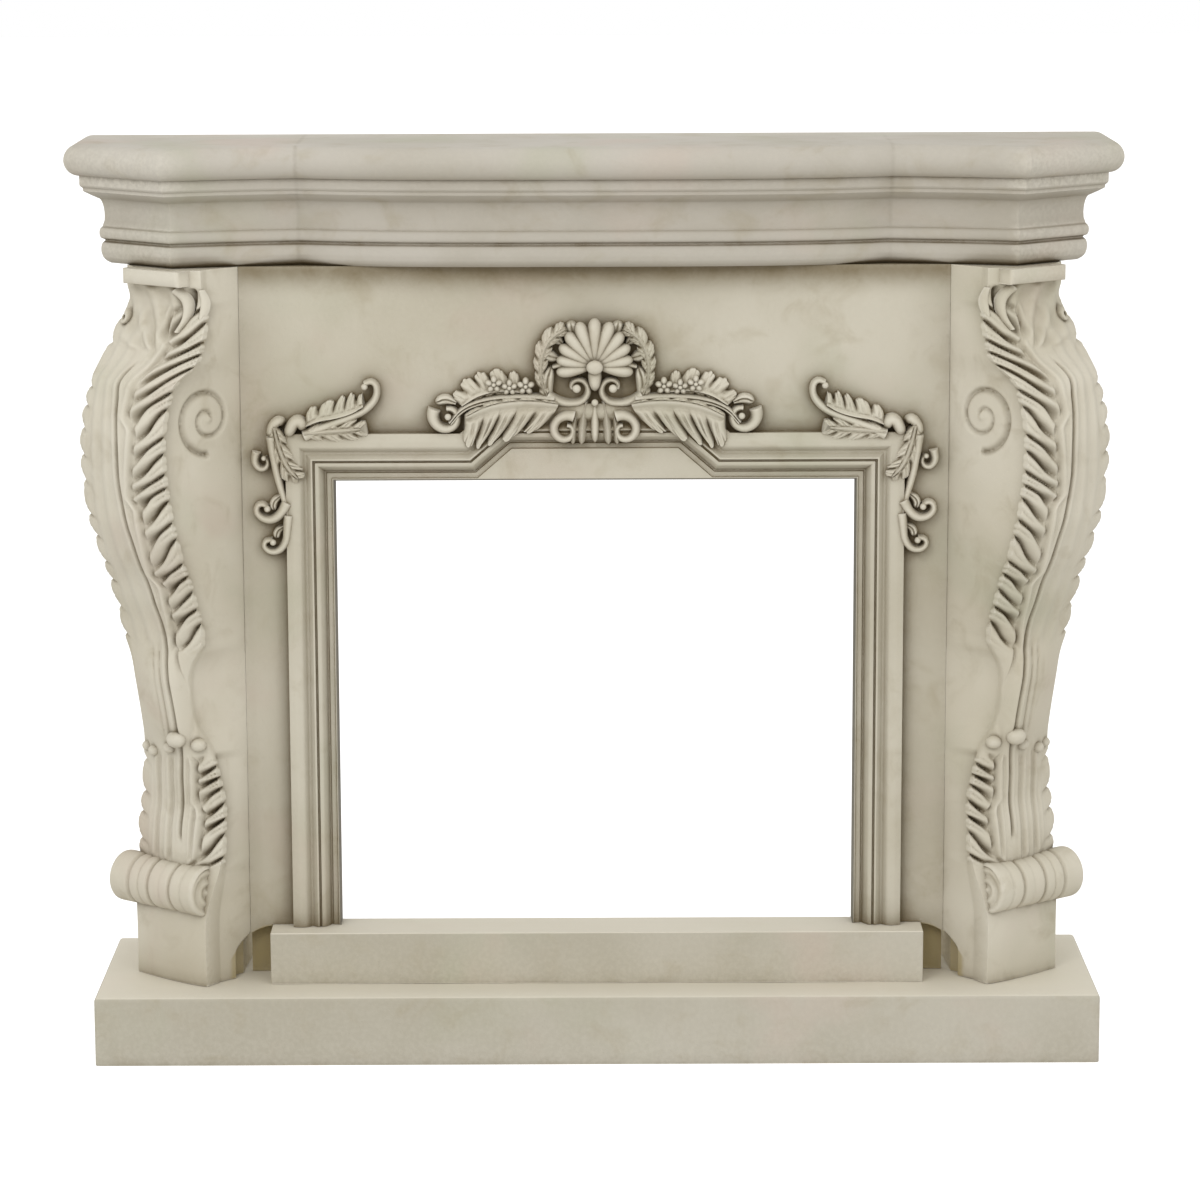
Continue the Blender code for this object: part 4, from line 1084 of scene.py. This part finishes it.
def crest_half(casting, side):
    skin = panel_skin(side, CREST_MIDDLE)

    def draw(path, width, height, base, kind, shape="leaf", **more):
        stroke(casting, skin, path, width, height, kind, shape, base=base, **more)

    acanthus(casting, skin, [(-0.066, -0.048), (-0.077, -0.028), (-0.080, 0.000), (-0.076, 0.026),
                             (-0.064, 0.046), (-0.044, 0.058)], 0.0120, 0.0105, 0.011, 6, 0.012, (0.5, 0.9),
             ((0, 0.65), (0.25, 0.80), (0.6, 1.1), (0.88, 1.0), (1, 0.6)), 0.34, rows=130, half_columns=9)
    for spot, angle in (((-0.048, 0.036), 140), ((-0.030, 0.048), 112), ((-0.054, 0.014), 168)):
        draw(bend(spot, angle, 0.022, -16, 5), 0.0085, 0.010, 0.012, "vein")
    draw([(-0.062, 0.001), (-0.038, 0.008), (-0.012, 0.010)], 0.0060, 0.012, 0.016, "round")
    draw(np.concatenate(([(-0.070, -0.040), (-0.056, -0.049), (-0.040, -0.053)],
                         curl((-0.0270, -0.030), 0.0225, -100, 0.80))), 0.0072, 0.012, 0.014, "round", "curl",
         count=34)
    draw([(-0.068, -0.050), (-0.072, -0.022), (-0.064, 0.002)], 0.0095, 0.012, 0.014, "vein")
    draw(curl((-0.0425, -0.0915), 0.0235, 60, 1.05), 0.0092, 0.016, 0.016, "round", "curl", count=30)
    draw([(-0.013, -0.050), (-0.018, -0.075), (-0.020, -0.115)], 0.0070, 0.013, 0.018, "ridge")
    draw([(-0.025, -0.060), (-0.031, -0.080), (-0.033, -0.115)], 0.0055, 0.011, 0.017, "ridge")
    acanthus(casting, skin, [(-0.110, -0.036), (-0.140, -0.033), (-0.172, -0.040), (-0.196, -0.056)],
             0.0080, 0.0330, 0.010, 5, 0.006, (0.1, 0.5),
             ((0, 0.85), (0.4, 1.0), (0.8, 0.85), (1, 0.45)), 0.42)
    acanthus(casting, skin, [(-0.054, -0.052), (-0.088, -0.047), (-0.126, -0.048), (-0.160, -0.055), (-0.190, -0.070)],
             0.0600, 0.0070, 0.017, 5, 0.016, (0.45, 0.80),
             ((0, 0.74), (0.3, 1.02), (0.6, 1.0), (0.85, 0.80), (1, 0.5)), 0.36, rows=200, half_columns=20)
    draw([(-0.060, -0.048), (-0.110, -0.044), (-0.160, -0.047), (-0.196, -0.060), (-0.214, -0.082)], 0.0085, 0.013,
         0.018, "vein", "curl", count=26)
    draw(curl((-0.2180, -0.0720), 0.0225, 150, 0.85, 0.50), 0.0095, 0.014, 0.012, "round", "curl", count=34)
    draw([(-0.205, -0.052), (-0.222, -0.045), (-0.236, -0.052)], 0.0075, 0.011, 0.010, "vein")
    beads = [((0.0268, -0.0290), 0.0062, 0.028), ((0.2170, -0.0715), 0.0050, 0.020)]
    forms = [((side * x, PANEL_FRONT - w, CREST_MIDDLE + z), (0, 0, 0), (r, r, r)) for (x, z), r, w in beads]
    for x, z, size in ((0.149, -0.024, 1.0), (0.126, -0.029, 0.95), (0.102, -0.027, 1.05)):
        for k in range(5):
            angle = math.radians(90 + 72 * k)
            petal = (side * (x + 0.0072 * size * math.cos(angle)), PANEL_FRONT - 0.015,
                     CREST_MIDDLE + z + 0.0072 * size * math.sin(angle))
            turn = (0, side * (math.pi / 2 - angle), 0)
            forms.append((petal, turn, (0.0045 * size, 0.0080, 0.0058 * size)))
        heart = (side * x, PANEL_FRONT - 0.0215, CREST_MIDDLE + z)
        forms.append((heart, (0, 0, 0), (0.0032, 0.0040, 0.0032)))
    put_forms(casting, forms, segments=12)


def crest_casting():
    casting = Casting("crest_relief")
    ribs = []
    for i in range(11):
        angle = math.radians((i - 5) * 19.5)
        crown = math.cos(angle) ** 2
        reach = 0.029 + 0.009 * crown
        place = (math.sin(angle) * reach, PANEL_FRONT - 0.015, CREST_MIDDLE + 0.001 + math.cos(angle) * reach)
        ribs.append((place, (0, angle, 0), (0.0084 + 0.0016 * crown, 0.0130, 0.0280 + 0.0070 * crown)))
    put_forms(casting, ribs, taper=0.55, segments=16, rings=14)
    skin = panel_skin(1, CREST_MIDDLE)
    stroke(casting, skin, [(0, 0.016), (0, -0.010), (0, -0.036)], 0.0100, 0.013, "round", "leaf", base=0.018)
    stroke(casting, skin, [(0, -0.052), (0, -0.080), (0, -0.112)], 0.0062, 0.014, "round", "leaf", base=0.018)
    put_forms(casting, [((0, PANEL_FRONT - 0.026, CREST_MIDDLE + 0.002), (0, 0, 0), (0.0125, 0.0085, 0.0105)),
                        ((0, PANEL_FRONT - 0.026, CREST_MIDDLE - 0.050), (0, 0, 0), (0.0050, 0.0050, 0.0050))])
    for side in (-1, 1):
        crest_half(casting, side)
    return casting


crest_casting().finish(CREAM, "aged_cream_stone", crease=50)

# %% Corner sprays


def corner_casting(side, name):
    casting = Casting(name)
    skin = panel_skin(side)

    def draw(path, width, height, base, kind, shape="leaf", **more):
        stroke(casting, skin, path, width, height, kind, shape, base=base, **more)

    acanthus(casting, skin, [(-0.4300, 0.9370), (-0.4000, 0.9400), (-0.3720, 0.9420), (-0.3480, 0.9440)],
             0.0165, 0.0190, 0.012, 3.6, 0.014, (0.7, 1.3),
             ((0, 0.55), (0.3, 0.95), (0.7, 1.0), (1, 0.50)), 0.40, rows=90, half_columns=10)
    acanthus(casting, skin, [(-0.4270, 0.9480), (-0.4080, 0.9560), (-0.3850, 0.9590), (-0.3600, 0.9660),
                             (-0.3420, 0.9770)], 0.0270, 0.0050, 0.011, 4.5, 0.010, (0.3, 0.5),
             ((0, 0.70), (0.25, 0.95), (0.7, 1.05), (1, 0.60)), 0.45, rows=110, half_columns=10)
    draw([(-0.4300, 0.9330), (-0.3900, 0.9500), (-0.3600, 0.9610), (-0.3360, 0.9730), (-0.3225, 0.9890),
          (-0.3220, 1.0070), (-0.3300, 1.0140), (-0.3400, 1.0095)],
         0.0092, 0.013, 0.014, "round", "curl", count=44)
    draw([(-0.4560, 0.9300), (-0.4470, 0.9520), (-0.4360, 0.9560), (-0.4290, 0.9400)], 0.0088, 0.014, 0.015,
         "round", "other", count=26)
    draw([(-0.4800, 0.9300), (-0.4770, 0.9480), (-0.4680, 0.9560), (-0.4590, 0.9500)], 0.0075, 0.011, 0.015,
         "round", "other", count=26)
    acanthus(casting, skin, [(-0.4740, 0.9470), (-0.4670, 0.9140), (-0.4560, 0.8870), (-0.4400, 0.8710)],
             0.0165, 0.0155, 0.014, 3.6, 0.014, (0.7, 1.1),
             ((0, 0.70), (0.4, 1.0), (0.8, 0.95), (1, 0.35)), 0.36, rows=100, half_columns=10)
    draw([(-0.4780, 0.9320), (-0.4755, 0.9030), (-0.4690, 0.8650), (-0.4610, 0.8370), (-0.4560, 0.8120)],
         0.0085, 0.012, 0.014, "round", "curl", count=34)
    draw([(-0.5015, 0.9090), (-0.5050, 0.8940), (-0.4980, 0.8830), (-0.4880, 0.8840), (-0.4835, 0.8935),
          (-0.4895, 0.9010)], 0.0066, 0.012, 0.010, "round", "curl", count=32)
    draw([(-0.4570, 0.8330), (-0.4650, 0.8170), (-0.4790, 0.8065), (-0.4930, 0.8080), (-0.5030, 0.8170),
          (-0.5020, 0.8280), (-0.4940, 0.8310), (-0.4875, 0.8260)],
         0.0086, 0.014, 0.011, "round", "curl", count=40)
    draw([(-0.4550, 0.8140), (-0.4570, 0.7920), (-0.4590, 0.7740), (-0.4690, 0.7605), (-0.4830, 0.7580),
          (-0.4930, 0.7660), (-0.4905, 0.7755), (-0.4800, 0.7760)],
         0.0082, 0.014, 0.011, "round", "curl", count=42)
    draw([(-0.4660, 0.8430), (-0.4790, 0.8330), (-0.4760, 0.8200)], 0.0060, 0.009, 0.010, "vein")
    draw([(-0.4620, 0.7960), (-0.4730, 0.7900), (-0.4740, 0.7780)], 0.0060, 0.009, 0.010, "vein")
    forms = []
    for x, z, r in ((-0.3400, 1.0060, 0.0050), (-0.4905, 0.9000, 0.0038), (-0.4865, 0.8240, 0.0050),
                    (-0.4790, 0.7735, 0.0048)):
        forms.append(((-side * x, PANEL_FRONT - 0.016, z), (0, 0, 0), (r, r + 0.002, r)))
    put_forms(casting, forms, segments=12)
    return casting


corner_casting(-1, "corner_relief_left").finish(CREAM, "aged_cream_stone", crease=50)
corner_casting(1, "corner_relief_right").finish(CREAM, "aged_cream_stone", crease=50)

# %% [markdown]
# The room: a plain white floor, a white surround and large soft lights high in front, as in a
# catalogue picture. The camera stands about six metres away at head height and looks a little down.

# %% Floor
floor_mesh = bpy.data.meshes.new("studio_floor")
floor_mesh.from_pydata([(-30, -30, 0), (30, -30, 0), (30, 30, 0), (-30, 30, 0)], [], [(0, 1, 2, 3)])
floor = bpy.data.objects.new("studio_floor", floor_mesh)
bpy.context.scene.collection.objects.link(floor)
floor_finish = bpy.data.materials.new("white_floor")
floor_finish.use_nodes = True
floor_shader = floor_finish.node_tree.nodes["Principled BSDF"]
floor_shader.inputs["Base Color"].default_value = (0.90, 0.90, 0.895, 1)
floor_shader.inputs["Roughness"].default_value = 0.9
floor_shader.inputs["Specular IOR Level"].default_value = 0.1
floor_shader.inputs["Emission Color"].default_value = (1, 1, 1, 1)
floor_shader.inputs["Emission Strength"].default_value = 0.55
floor.visible_diffuse = False
floor.visible_glossy = False
floor_mesh.materials.append(floor_finish)
print("floor ready")

# %% Lights and world
scene = bpy.context.scene
scene.view_settings.view_transform = 'Standard'
scene.view_settings.look = 'None'
world = bpy.data.worlds.new("white_room")
world.use_nodes = True
sky = world.node_tree
ray = add_node(sky, "ShaderNodeTexCoord", {}, out=0)
upward = add_node(sky, "ShaderNodeSeparateXYZ", {}, ray, out=2)
above = upward.between(-0.7, 0.8)
glow = blend(sky, above, (0.69, 0.68, 0.66, 1), (0.84, 0.84, 0.84, 1))
seen = add_node(sky, "ShaderNodeLightPath", {}, out=0)
sky.links.new(blend(sky, seen, glow, (1, 1, 1, 1)).socket, sky.nodes["Background"].inputs["Color"])
scene.world = world


def soft_light(name, place, aim, size, power):
    lamp = bpy.data.lights.new(name, 'AREA')
    lamp.shape = 'DISK'
    lamp.size = size
    lamp.energy = power
    holder = bpy.data.objects.new(name, lamp)
    direction = Vector(aim) - Vector(place)
    holder.matrix_world = Matrix.Translation(place) @ direction.to_track_quat('-Z', 'Y').to_matrix().to_4x4()
    scene.collection.objects.link(holder)
    return holder


soft_light("key", (-1.4, -3.4, 3.2), (0, 0, 0.7), 1.8, 38)
soft_light("fill", (2.2, -3.4, 2.4), (0, 0, 0.7), 1.8, 16)
print("lights ready")

# %% Camera
FOCAL_PIXELS, PICTURE_PIXELS, SENSOR_WIDTH = 4094, 1200, 36.0
PITCH_DOWN, YAW, ROLL = 10.73, -0.063, -0.2
lens = bpy.data.cameras.new("view")
lens.sensor_width = SENSOR_WIDTH
lens.lens = SENSOR_WIDTH * FOCAL_PIXELS / PICTURE_PIXELS
lens.clip_end = 100.0
camera = bpy.data.objects.new("view", lens)
tilt = Matrix.Rotation(math.radians(90 - PITCH_DOWN), 4, 'X')
yaw = Matrix.Rotation(math.radians(YAW), 4, 'Z')
roll = Matrix.Rotation(math.radians(ROLL), 4, 'Z')
camera.matrix_world = Matrix.Translation((0.0, -6.0515, 1.8205)) @ yaw @ tilt @ roll
scene.collection.objects.link(camera)
scene.camera = camera
print("camera at", tuple(round(v, 3) for v in camera.location))
